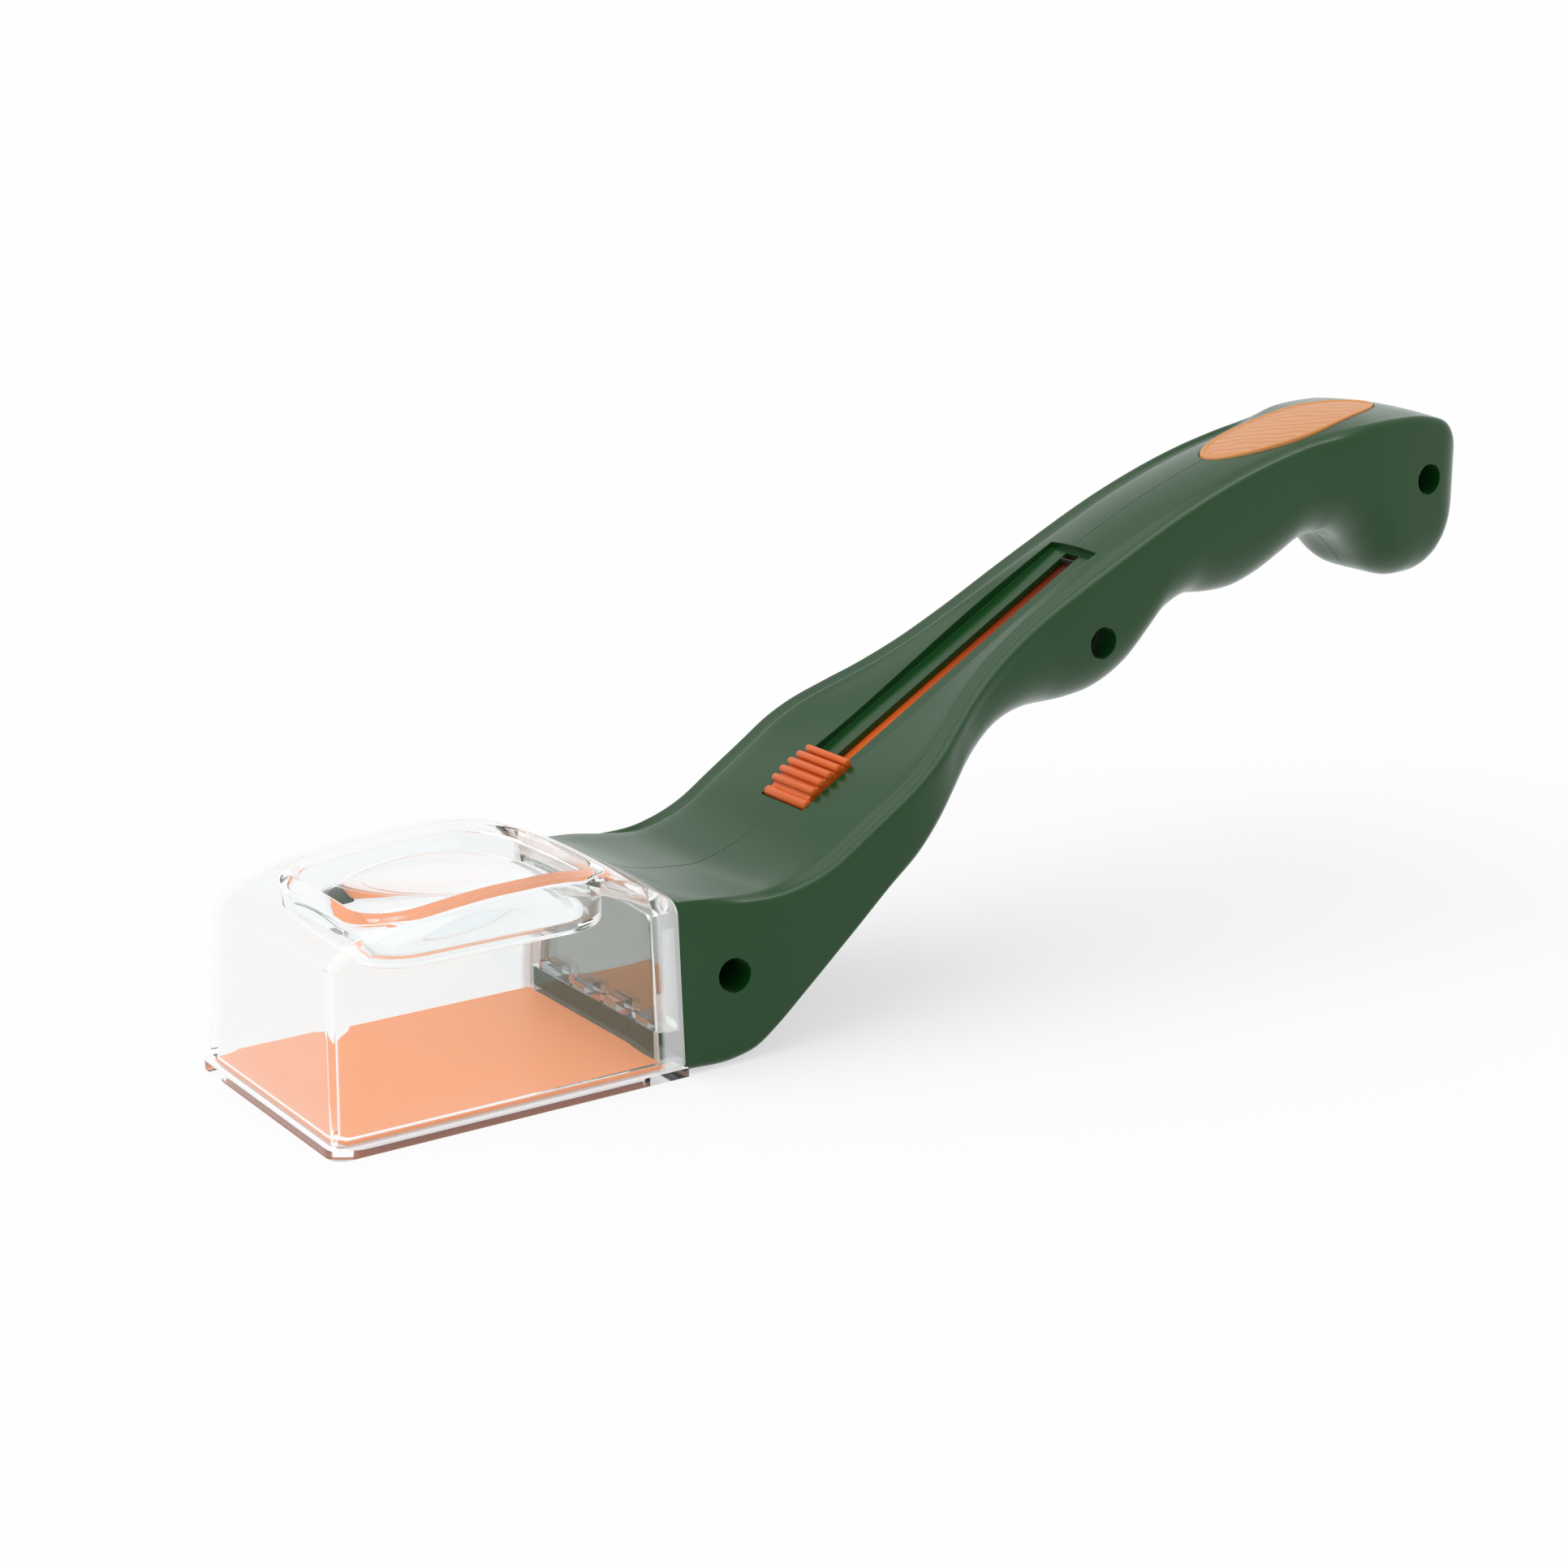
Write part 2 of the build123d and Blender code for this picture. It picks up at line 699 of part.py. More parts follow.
# Magnifier lens: flat below, domed above
with BuildPart() as magnifier_lens:
    lens_corner = recess_corner - lens_gap
    reach = sqrt(
        (lens_length / 2 - lens_corner * (1 - sqrt(0.5))) ** 2
        + (lens_width / 2 - lens_corner * (1 - sqrt(0.5))) ** 2
    )
    lens_height = lens_edge + lens_radius - sqrt(lens_radius**2 - reach**2)
    add(
        rounded_block(
            recess_x,
            lens_length,
            lens_width,
            lens_corner,
            recess_floor_z,
            recess_floor_z + lens_height + cut_over,
        )
    )
    with Locations((recess_x, 0, recess_floor_z + lens_height - lens_radius)):
        Sphere(lens_radius, mode=Mode.INTERSECT)
magnifier_lens.part.label = "magnifier_lens"
export_step(magnifier_lens.part, "parts/magnifier_lens.step")

# Thumb slider: ribbed button and the stem that reaches through the slit
button_end = button_gap + button_length
button_middle = button_gap + button_length / 2
stem_start, stem_end = button_gap + stem_margin, button_end - stem_margin
stem_half = slit_width / 2 - stem_gap
stem_bottom = -(floor_thickness + running_gap + sheet_thickness + band_gap)
carriage_bottom = stem_bottom - carriage_thickness
button_half = channel_width / 2 - running_gap
slope_run = 1.6 * (button_height - button_front_height)
dome_points = (
    (button_gap + slope_run, button_height),
    (button_middle + slope_run / 2, button_height + dome_height),
    (button_end, button_height),
)
dome = ThreePointArc(*dome_points)
with BuildPart() as thumb_slider:
    with BuildSketch(slot_side()):
        with BuildLine():
            ThreePointArc(*dome_points)
            Polyline(
                dome_points[2],
                (button_end, button_lift),
                (button_gap, button_lift),
                (button_gap, button_front_height),
                dome_points[0],
            )
        make_face()
    extrude(amount=button_half - rib_overhang, both=True)
    rib_start = rib_radius / dome.length
    with BuildSketch(slot_side()):
        for k in range(rib_count):
            at = dome @ (rib_start + (1 - 2 * rib_start) * k / (rib_count - 1))
            with Locations((at.X, at.Y)):
                Circle(rib_radius)
    extrude(amount=button_half, both=True)
    add(slot_bar(stem_start, stem_end, stem_bottom, button_height / 2, stem_half))
    screw_top = carriage_bottom + carriage_screw_head_height + carriage_screw_length
    with Locations(slot_frame(button_middle, stem_bottom)):
        with GridLocations(carriage_screw_pitch, 0, 2, 1):
            Cylinder(
                carriage_screw_radius,
                screw_top - stem_bottom + fit_gap,
                align=(Align.CENTER, Align.CENTER, Align.MIN),
                mode=Mode.SUBTRACT,
            )
thumb_slider.part.label = "thumb_slider"
export_step(thumb_slider.part, "parts/thumb_slider.step")

# Carriage under the channel, screwed to the stem from below
with BuildPart() as slider_carriage:
    carriage_start = button_gap + carriage_margin
    add(
        slot_bar(
            carriage_start,
            button_end - carriage_margin,
            carriage_bottom,
            stem_bottom,
            carriage_width / 2,
        )
    )
    with Locations(slot_frame(button_middle, carriage_bottom)):
        with GridLocations(carriage_screw_pitch, 0, 2, 1):
            Cylinder(
                carriage_screw_radius + fit_gap,
                2 * carriage_thickness,
                align=(Align.CENTER, Align.CENTER, Align.MIN),
                mode=Mode.SUBTRACT,
            )
            Cylinder(
                carriage_screw_head + fit_gap,
                carriage_screw_head_height,
                align=(Align.CENTER, Align.CENTER, Align.MIN),
                mode=Mode.SUBTRACT,
            )
slider_carriage.part.label = "slider_carriage"
export_step(slider_carriage.part, "parts/slider_carriage.step")

with BuildPart() as carriage_screws:
    with Locations(slot_frame(button_middle, carriage_bottom)):
        with GridLocations(carriage_screw_pitch, 0, 2, 1):
            Cylinder(
                carriage_screw_head,
                carriage_screw_head_height,
                align=(Align.CENTER, Align.CENTER, Align.MIN),
            )
            Cylinder(
                carriage_screw_radius,
                carriage_screw_head_height + carriage_screw_length,
                align=(Align.CENTER, Align.CENTER, Align.MIN),
            )
            Box(
                2 * carriage_screw_head,
                carriage_screw_radius / 2,
                carriage_screw_head_height / 2,
                align=(Align.CENTER, Align.CENTER, Align.MIN),
                mode=Mode.SUBTRACT,
            )
carriage_screws.part.label = "carriage_screws"
export_step(carriage_screws.part, "parts/carriage_screws.step")

# Two leaf springs between the carriage and the channel's floor
with BuildPart() as friction_springs:
    with BuildSketch(slot_side(spring_y), slot_side(-spring_y)):
        with BuildLine():
            for rise in (0, spring_thickness):
                ThreePointArc(
                    (button_middle - spring_length / 2, stem_bottom + rise),
                    (button_middle, stem_bottom + spring_rise + rise),
                    (button_middle + spring_length / 2, stem_bottom + rise),
                )
            for side in (-1, 1):
                x = button_middle + side * spring_length / 2
                Line((x, stem_bottom), (x, stem_bottom + spring_thickness))
        make_face()
    extrude(amount=spring_width / 2, both=True)
friction_springs.part.label = "friction_springs"
export_step(friction_springs.part, "parts/friction_springs.step")

# Shutter: wide door in the chamber and narrow band up to the thumb slider
with BuildPart() as shutter_sheet:
    door_start = track_start + running_gap
    door_end = joint_x - path_start
    with BuildSketch(Plane.XY.offset(sheet_z - sheet_thickness / 2)) as door_outline:
        with Locations((door_start, 0)):
            Rectangle(
                door_end - door_start,
                2 * (track_half - running_gap),
                align=(Align.MIN, Align.CENTER),
            )
        fillet(door_outline.vertices(), corner_radius / 2)
    extrude(amount=sheet_thickness)
    add(
        path_plate(
            door_end - front_x - wall,
            path_cuts[4],
            -sheet_thickness / 2,
            sheet_thickness / 2,
            band_width / 2,
        )
    )
    add(
        slot_bar(
            stem_start - fit_gap,
            stem_end + fit_gap,
            stem_bottom - floor_thickness,
            0,
            stem_half + fit_gap,
        ),
        mode=Mode.SUBTRACT,
    )
shutter_sheet.part.label = "shutter_sheet"
export_step(shutter_sheet.part, "parts/shutter_sheet.step")

# Guides that bend the shutter through the neck, and the rest its tail slides on
neck_fit = handle_block(stations[1:8], wall + fit_gap)
guide_low = sheet_thickness / 2 + guide_gap
with BuildPart() as lower_guide:
    add(
        path_plate(
            path_cuts[0] + lower_bend * radians(lower_guide_start_angle),
            path_cuts[3] - wall / 2,
            -guide_low - guide_thickness,
            -guide_low,
            handle_width / 2,
        )
        & neck_fit
    )
lower_guide.part.label = "lower_guide"
export_step(lower_guide.part, "parts/lower_guide.step")

with BuildPart() as upper_guide:
    add(
        path_plate(
            path_cuts[0] + lower_bend * radians(guide_start_angle),
            path_cuts[1] + neck_straight * upper_guide_end_share,
            guide_low,
            guide_low + guide_thickness,
            handle_width / 2,
        )
        & neck_fit
    )
upper_guide.part.label = "upper_guide"
export_step(upper_guide.part, "parts/upper_guide.step")

with BuildPart() as band_rest:
    add(
        path_plate(
            path_cuts[4] + wall,
            path_cuts[5] + tail_rest_length,
            -guide_low - guide_thickness,
            -guide_low,
            handle_width / 2,
        )
        & handle_block(stations[13:19], wall + fit_gap)
    )
band_rest.part.label = "band_rest"
export_step(band_rest.part, "parts/band_rest.step")


# Oval inlay at the end of the handle
def inlay_block(over, top_lift, bottom_lift):
    """Oval plate that follows the handle's top."""
    first = inlay_centre_share - 0.6 * inlay_length / handle_length
    last = inlay_centre_share + 0.6 * inlay_length / handle_length
    turns = [handle_turn(first + (last - first) * k / 6) for k in range(7)]
    with BuildPart() as plate:
        with BuildSketch(Plane.XY.offset(top_z(first) - 2 * inlay_thickness)):
            with Locations((along(inlay_centre_share), 0)):
                Ellipse(inlay_length / 2 + over, inlay_width / 2 + over)
        extrude(amount=handle_height)
        add(handle_block(turns, lift=top_lift), mode=Mode.INTERSECT)
        add(handle_block(turns, lift=bottom_lift), mode=Mode.SUBTRACT)
    return plate.part


inlay_bottom = inlay_proud - inlay_thickness
with BuildPart() as thumb_rest:
    add(inlay_block(0, inlay_proud, inlay_bottom))
thumb_rest.part.label = "thumb_rest"
export_step(thumb_rest.part, "parts/thumb_rest.step")

# Handle: one hollow form with its channel, bosses and openings, split on the middle plane
slit_start, slit_finish = stem_start - slit_end, stem_end + slide_travel + slit_end
with BuildPart() as shell:
    add(handle_block(stations))
    add(handle_block(hollow_stations, wall), mode=Mode.SUBTRACT)
    add(
        slot_bar(
            -channel_wall,
            slot_length + channel_wall,
            -floor_thickness,
            channel_width / 2,
            channel_width / 2 + channel_wall,
        )
        & handle_block(stations[5:16], wall / 2)
    )
    for place_share in screw_places_shares:
        add(
            cross_rod(place_share, boss_radius, -handle_width, handle_width)
            & local_block(place_share[0], boss_reach_share, wall / 2)
        )
    for place_share in pin_places_shares:
        add(
            cross_rod(place_share, pin_boss_radius, -pin_boss_length / 2, pin_boss_length / 2)
            & local_block(place_share[0], boss_reach_share, wall / 2)
        )
    add(slot_bar(0, slot_length, 0, channel_width / 2, channel_width / 2), mode=Mode.SUBTRACT)
    add(
        slot_bar(slit_start, slit_finish, -2 * floor_thickness, floor_thickness, slit_width / 2),
        mode=Mode.SUBTRACT,
    )
    add(inlay_block(fit_gap, cut_over, inlay_bottom), mode=Mode.SUBTRACT)
    add(
        wall_slot(rim_height, track_top, track_half, wall + fit_gap),
        mode=Mode.SUBTRACT,
    )
    add(
        wall_slot(
            lug_low - fit_gap,
            lug_high + fit_gap,
            lug_y + lug_thickness / 2 + fit_gap,
            wall + fit_gap,
        ),
        mode=Mode.SUBTRACT,
    )
    for place_share in pin_places_shares:
        add(cross_rod(place_share, pin_radius, -pin_length / 2, pin_length / 2), mode=Mode.SUBTRACT)

with BuildPart() as handle_shell_left:
    add(shell.part)
    split(bisect_by=Plane.XZ, keep=Keep.TOP)
    for place_share in screw_places_shares:
        add(
            cross_rod(place_share, well_radius, -handle_width, -well_floor),
            mode=Mode.SUBTRACT,
        )
        add(
            cross_rod(place_share, screw_radius + screw_clearance, -well_floor, 0),
            mode=Mode.SUBTRACT,
        )
handle_shell_left.part.label = "handle_shell_left"
export_step(handle_shell_left.part, "parts/handle_shell_left.step")

with BuildPart() as handle_shell_right:
    add(shell.part)
    split(bisect_by=Plane.XZ, keep=Keep.BOTTOM)
    for place_share in screw_places_shares:
        add(
            cross_rod(place_share, screw_radius, 0, screw_length - well_floor + fit_gap),
            mode=Mode.SUBTRACT,
        )
handle_shell_right.part.label = "handle_shell_right"
export_step(handle_shell_right.part, "parts/handle_shell_right.step")

# Screws that close the handle, driven from the left
with BuildPart() as case_screws:
    for place_share in screw_places_shares:
        x, z = along(place_share[0]), up(place_share[1])
        head_y = -well_floor - screw_head_height
        add(cross_rod(place_share, screw_head_radius, head_y, -well_floor))
        add(cross_rod(place_share, screw_radius, -well_floor, screw_length - well_floor))
        with Locations((x, head_y + recess_depth / 2, z)):
            Box(2 * screw_radius, recess_depth, recess_blade, mode=Mode.SUBTRACT)
            Box(recess_blade, recess_depth, 2 * screw_radius, mode=Mode.SUBTRACT)
case_screws.part.label = "case_screws"
export_step(case_screws.part, "parts/case_screws.step")

with BuildPart() as locating_pins:
    for place_share in pin_places_shares:
        add(cross_rod(place_share, pin_radius, -pin_length / 2, pin_length / 2))
locating_pins.part.label = "locating_pins"
export_step(locating_pins.part, "parts/locating_pins.step")

# Soft stops at the ends of the slit and low-friction strips beside it
stop_half = (slit_width - fit_gap) / 2
with BuildPart() as front_stop:
    add(slot_bar(slit_start, slit_start + stop_thickness, -floor_thickness, 0, stop_half))
front_stop.part.label = "front_stop"
export_step(front_stop.part, "parts/front_stop.step")

with BuildPart() as rear_stop:
    add(slot_bar(slit_finish - stop_thickness, slit_finish, -floor_thickness, 0, stop_half))
rear_stop.part.label = "rear_stop"
export_step(rear_stop.part, "parts/rear_stop.step")

with BuildPart() as wear_strips:
    for side in (-1, 1):
        add(
            slot_bar(
                0,
                slot_length,
                -floor_thickness - strip_thickness,
                -floor_thickness,
                strip_width / 2,
                side * strip_y,
            )
        )
wear_strips.part.label = "wear_strips"
export_step(wear_strips.part, "parts/wear_strips.step")
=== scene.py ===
"""Insect catcher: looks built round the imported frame. Lengths are in millimetres until a mesh is made."""

import math

import bmesh
import bpy
import numpy as np
from mathutils import Matrix, Vector


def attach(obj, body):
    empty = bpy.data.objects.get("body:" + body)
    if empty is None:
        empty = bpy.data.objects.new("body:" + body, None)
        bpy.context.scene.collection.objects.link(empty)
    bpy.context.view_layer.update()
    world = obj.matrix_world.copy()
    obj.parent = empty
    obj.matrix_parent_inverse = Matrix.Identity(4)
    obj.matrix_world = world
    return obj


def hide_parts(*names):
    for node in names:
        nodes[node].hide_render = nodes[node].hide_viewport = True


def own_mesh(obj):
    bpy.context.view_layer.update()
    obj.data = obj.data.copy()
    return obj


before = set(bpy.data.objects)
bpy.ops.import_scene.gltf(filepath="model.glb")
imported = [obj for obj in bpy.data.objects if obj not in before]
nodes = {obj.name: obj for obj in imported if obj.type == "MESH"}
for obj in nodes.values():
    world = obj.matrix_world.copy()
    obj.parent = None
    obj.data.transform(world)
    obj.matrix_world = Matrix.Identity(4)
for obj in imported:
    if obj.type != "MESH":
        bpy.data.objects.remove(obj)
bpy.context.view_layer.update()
MM = 0.001

# Sizes, as in the part's source
chamber_length, chamber_width, chamber_crown_height = 75.0, 57.6, 42.6
handle_length, handle_height, handle_width = 217.0, 107.4, 58.0
front_x = -(chamber_length + handle_length) / 2
joint_x = front_x + chamber_length
wall = 2.0
slide_travel = chamber_length - 3.0
slot_front = (joint_x + 0.1959 * handle_length, 0.3669 * handle_height)
slot_angle = math.atan2(0.4146 * handle_height, 0.3481 * handle_length)
channel_width, channel_wall, slit_width, floor_thickness = 15.0, 1.6, 4.4, 1.2
slot_length = 14.5 + slide_travel + 0.8
slit_run = (2.6, 86.4)
slit_rise = (-2.3, 0.9)
seam_gap, seam_depth, seam_touch = 0.08, 0.7, 0.004
ring_step, end_rings = 0.006, 10
hollow_stops, past_middle = (0.0103, 1.29), 1.37

top_edge_shares = (
    (0.000, 0.318), (0.032, 0.313), (0.065, 0.305), (0.097, 0.300), (0.129, 0.311), (0.161, 0.336),
    (0.194, 0.378), (0.235, 0.432), (0.281, 0.496), (0.346, 0.575), (0.438, 0.682), (0.530, 0.776),
    (0.622, 0.862), (0.714, 0.928), (0.806, 0.972), (0.871, 0.996), (0.922, 1.000), (0.968, 0.984),
    (1.000, 0.955),
)  # fmt: skip
crown_shares = (
    (0.000, 0.012), (0.023, -0.002), (0.050, -0.007), (0.092, -0.006), (0.129, 0.000), (0.170, 0.004),
    (0.200, 0.006), (0.235, 0.002), (0.281, -0.013), (0.346, -0.016), (0.438, -0.012), (0.500, 0.001),
    (0.545, 0.009), (0.620, 0.009), (0.750, 0.009), (1.000, 0.008),
)  # fmt: skip
underside_shares = (
    (0.000, 0.005), (0.055, 0.006), (0.076, 0.018), (0.097, 0.048), (0.129, 0.104), (0.180, 0.194),
    (0.230, 0.279), (0.257, 0.319), (0.281, 0.360), (0.313, 0.411), (0.341, 0.450), (0.373, 0.486),
    (0.406, 0.504),
    (0.438, 0.508), (0.470, 0.504), (0.502, 0.506), (0.530, 0.517), (0.562, 0.552), (0.585, 0.597),
    (0.604, 0.636), (0.627, 0.665), (0.654, 0.677), (0.682, 0.673), (0.710, 0.676), (0.737, 0.694),
    (0.765, 0.722), (0.790, 0.748), (0.815, 0.760), (0.843, 0.759), (0.868, 0.740), (0.885, 0.712),
    (0.903, 0.674), (0.925, 0.652), (0.950, 0.650), (0.975, 0.668), (1.000, 0.710),
)  # fmt: skip
top_half_shares = (
    (0.000, 0.440), (0.046, 0.448), (0.106, 0.457), (0.161, 0.464), (0.217, 0.471), (0.253, 0.471),
    (0.281, 0.448), (0.313, 0.388), (0.346, 0.321), (0.382, 0.269), (0.429, 0.236), (0.484, 0.229),
    (0.645, 0.229), (0.784, 0.228), (0.829, 0.243), (0.876, 0.263), (0.926, 0.272), (1.000, 0.268),
)  # fmt: skip
side_half_shares = (
    (0.000, 0.498), (0.106, 0.503), (0.217, 0.506), (0.253, 0.505), (0.281, 0.486), (0.313, 0.436),
    (0.346, 0.372), (0.382, 0.322), (0.429, 0.288), (0.484, 0.278), (0.645, 0.278), (0.784, 0.278),
    (0.829, 0.288), (0.876, 0.302), (0.926, 0.306), (1.000, 0.300),
)  # fmt: skip
bead_shares = ((0.0, 0.0), (0.02, 0.0), (0.11, 1.0), (0.78, 1.0), (0.87, 0.0), (1.0, 0.0))
belly_shares = ((0.0, 0.0), (0.25, 0.0), (0.42, 1.0), (1.0, 1.0))
corner_shares = ((0.0, 0.0), (0.25, 0.1), (0.34, 0.5), (0.42, 0.9), (0.50, 1.0), (1.0, 1.0))
bead_width, bead_drop, plain_width = 2.5, 3.0, 0.9
# across the handle from the edge of its top: the cove's start, its lowest line and the bead's crest
cove_start, cove_low, bead_crest, cove_depth, crest_drop = -3.2, -0.1, 1.4, 0.85, 0.25
foot_corner, grip_corner, foot_wall_share, end_round = 2.0, 12.0, 0.6, 8.0
hollow_under_bead, longest_corner_share = 1.6, 0.62
arc_handle = 0.1755  # length of a Bezier handle on 30 degrees of a circle of radius 1
arch_shares = (
    (0.000, 0.806), (0.180, 0.932), (0.360, 0.978), (0.560, 1.002), (0.730, 0.995), (0.857, 0.937),
    (1.000, 0.806),
)  # fmt: skip

screw_places_shares = ((0.0535, 0.166), (0.518, 0.629), (0.943, 0.866))
well_radius, well_floor, boss_radius = 3.5, 6.0, 5.4
inlay_centre_share, inlay_length, inlay_width, inlay_thickness, inlay_proud = 0.819, 48.4, 20.0, 1.6, 0.35
bore_radius, bore_end, boss_reach, seat_gap = 1.5, 10.0, 60.0, 0.28
sheet_thickness, sheet_z, band_half = 0.8, 2.4, 6.0
door_slot_half, door_slot = 26.9, (1.8, 3.0)
above_slot = 9.0


# Outlines


def smooth(points, at):
    """Value at a place along a listed outline, by cubic pieces that pass through its points."""
    places = [p[0] for p in points]
    values = [p[1] for p in points]
    last = len(points) - 1
    i = max(k for k in range(last) if places[k] <= at or k == 0)
    steps = [places[k + 1] - places[k] for k in range(last)]
    rises = [(values[k + 1] - values[k]) / steps[k] for k in range(last)]

    def slope(k):
        if k == 0 or k == last:
            return rises[min(k, last - 1)]
        if rises[k - 1] * rises[k] <= 0:
            return 0.0
        return (rises[k - 1] * steps[k] + rises[k] * steps[k - 1]) / (steps[k - 1] + steps[k])

    t = (at - places[i]) / steps[i]
    a, b = slope(i) * steps[i], slope(i + 1) * steps[i]
    return (
        values[i] * (2 * t**3 - 3 * t**2 + 1)
        + values[i + 1] * (3 * t**2 - 2 * t**3)
        + a * (t**3 - 2 * t**2 + t)
        + b * (t**3 - t**2)
    )


def slope_factor(points, at):
    """How much longer a wall measures upright than square to an outline that slopes."""
    low, high = max(at - 0.01, 0.0), min(at + 0.01, 1.0)
    rise = (smooth(points, high) - smooth(points, low)) * handle_height
    return math.sqrt(1 + (rise / ((high - low) * handle_length)) ** 2)


def along(share):
    return joint_x + share * handle_length


def up(share):
    return share * handle_height


def top_z(share):
    return up(smooth(top_edge_shares, share) + smooth(crown_shares, share))


def bezier(points, count):
    """Points along a Bezier edge, without its last one."""
    out = []
    for t in np.linspace(0, 1, count, endpoint=False):
        row = [np.array(p, float) for p in points]
        while len(row) > 1:
            row = [a * (1 - t) + b * t for a, b in zip(row, row[1:])]
        out.append(row[0])
    return out


def half_section(share, inset=0.0, lift=0.0):
    """Right half of the handle's cross-section, from its crown round to the middle of its underside."""
    edge_z = up(smooth(top_edge_shares, share)) + lift
    crown_z = top_z(share) + lift
    bottom = up(smooth(underside_shares, share))
    top_half = smooth(top_half_shares, share) * handle_width
    side_half = smooth(side_half_shares, share) * handle_width
    bead = smooth(bead_shares, share)
    belly = smooth(belly_shares, share)
    corner = foot_corner + (grip_corner - foot_corner) * smooth(corner_shares, share)
    start = 1 - end_round / handle_length
    if share > start:
        reach = (share - start) * handle_length
        shrink = end_round - math.sqrt(max(end_round**2 - reach**2, 0.0))
        edge_z, crown_z, bottom = edge_z - shrink, crown_z - shrink, bottom + shrink
        top_half, side_half = top_half - shrink, side_half - shrink
        corner = max(corner - shrink / 2, foot_corner)
    if inset:
        lean = slope_factor(top_edge_shares, share)
        under = inset * slope_factor(underside_shares, share)
        thin = foot_wall_share + (1 - foot_wall_share) * min(bottom / foot_corner / 2, 1.0)
        edge_z, crown_z = edge_z - inset * lean - hollow_under_bead * bead, crown_z - inset * lean
        bottom = bottom + under * thin
        top_half, side_half = top_half - inset * (1 - bead / 2), side_half - inset
        bead = 0.0
    shoulder = plain_width + (bead_width - plain_width) * max(bead, belly)
    shoulder_z = edge_z - bead_drop
    shoulder_y = min(top_half + shoulder, side_half)
    corner = min(corner, (shoulder_z - bottom) * longest_corner_share)
    side_end_z = bottom + corner
    belly_y = belly * side_half + (1 - belly) * (shoulder_y + side_half) / 2
    bottom_y = side_half - corner
    # a plain rounded edge where bead is 0, a soft cove and a round bead where it is 1
    wide = shoulder_y - top_half
    plain = []
    for a, b in ((90, 60), (60, 30), (30, 0)):
        (sa, ca), (sb, cb) = ((math.sin(math.radians(t)), math.cos(math.radians(t))) for t in (a, b))
        turned = (
            (ca, sa),
            (ca + arc_handle * sa, sa - arc_handle * ca),
            (cb - arc_handle * sb, sb + arc_handle * cb),
            (cb, sb),
        )
        plain.append([(top_half + wide * y, shoulder_z + bead_drop * z) for y, z in turned])
    low, crest = edge_z - cove_depth, edge_z - crest_drop
    a, c, k = top_half + cove_start, top_half + cove_low, top_half + bead_crest
    tilt = 2 * (edge_z - crown_z) / a
    beaded = [
        [(a, edge_z), (a + 1.0, edge_z + tilt), (c - 1.3, low), (c, low)],
        [(c, low), (c + 0.7, low), (k - 0.7, crest), (k, crest)],
        [
            (k, crest),
            (k + (shoulder_y - k) * 0.6, crest),
            (shoulder_y, crest - 0.8),
            (shoulder_y, shoulder_z),
        ],
    ]
    edge = [
        [(p[0] * (1 - bead) + q[0] * bead, p[1] * (1 - bead) + q[1] * bead) for p, q in zip(one, two)]
        for one, two in zip(plain, beaded)
    ]
    top_y, top_edge = edge[0][0]
    side = [
        (shoulder_y, shoulder_z),
        (belly_y, (shoulder_z + side_end_z) / 2),
        (side_half, side_end_z),
    ]
    turn = [
        (side_half, side_end_z),
        (side_half, side_end_z - corner * 0.55),
        (bottom_y + corner * 0.55, bottom),
        (bottom_y, bottom),
    ]
    edges = (
        ([(0, crown_z), (top_y / 2, crown_z), (top_y, top_edge)], 8),
        (edge[0], 6),
        (edge[1], 6),
        (edge[2], 8),
        (side, 12),
        (turn, 10),
        ([(bottom_y, bottom), (0, bottom)], 4),
    )
    points = [p for line, count in edges for p in bezier(line, count)]
    return [*points, np.array((0.0, bottom))]


# Mesh helpers


def make(name, verts, faces):
    mesh = bpy.data.meshes.new(name)
    mesh.from_pydata([tuple(c * MM for c in v) for v in verts], [], faces)
    mesh.validate()
    o = bpy.data.objects.new(name, mesh)
    bpy.context.scene.collection.objects.link(o)
    return o


def loft_mesh(name, rings):
    """Mesh through rings of points, each a closed loop, capped at both ends."""
    n = len(rings[0])
    verts = [p for ring in rings for p in ring]
    faces = []
    for r in range(len(rings) - 1):
        for k in range(n):
            a, b = r * n + k, r * n + (k + 1) % n
            faces.append((a, b, b + n, a + n))
    faces.append(tuple(reversed(range(n))))
    faces.append(tuple((len(rings) - 1) * n + k for k in range(n)))
    return make(name, verts, faces)


def face_out(o):
    """Turns a closed mesh's faces outward."""
    b = bmesh.new()
    b.from_mesh(o.data)
    bmesh.ops.recalc_face_normals(b, faces=b.faces)
    b.to_mesh(o.data)
    b.free()
    return o


def baked(o):
    """Applies an object's modifiers to its mesh."""
    graph = bpy.context.evaluated_depsgraph_get()
    mesh = bpy.data.meshes.new_from_object(o.evaluated_get(graph))
    o.modifiers.clear()
    o.data = mesh
    return o


def cut(o, tool):
    """Takes one mesh away from another and removes it."""
    m = o.modifiers.new("cut", "BOOLEAN")
    m.object, m.operation, m.solver = tool, "DIFFERENCE", "EXACT"
    baked(o)
    bpy.data.objects.remove(tool)
    return o


def box(name, lo, hi):
    x, y, z = zip(lo, hi)
    verts = [(x[i], y[j], z[k]) for i in (0, 1) for j in (0, 1) for k in (0, 1)]
    faces = [(0, 1, 3, 2), (4, 6, 7, 5), (0, 4, 5, 1), (2, 3, 7, 6), (0, 2, 6, 4), (1, 5, 7, 3)]
    return make(name, verts, faces)


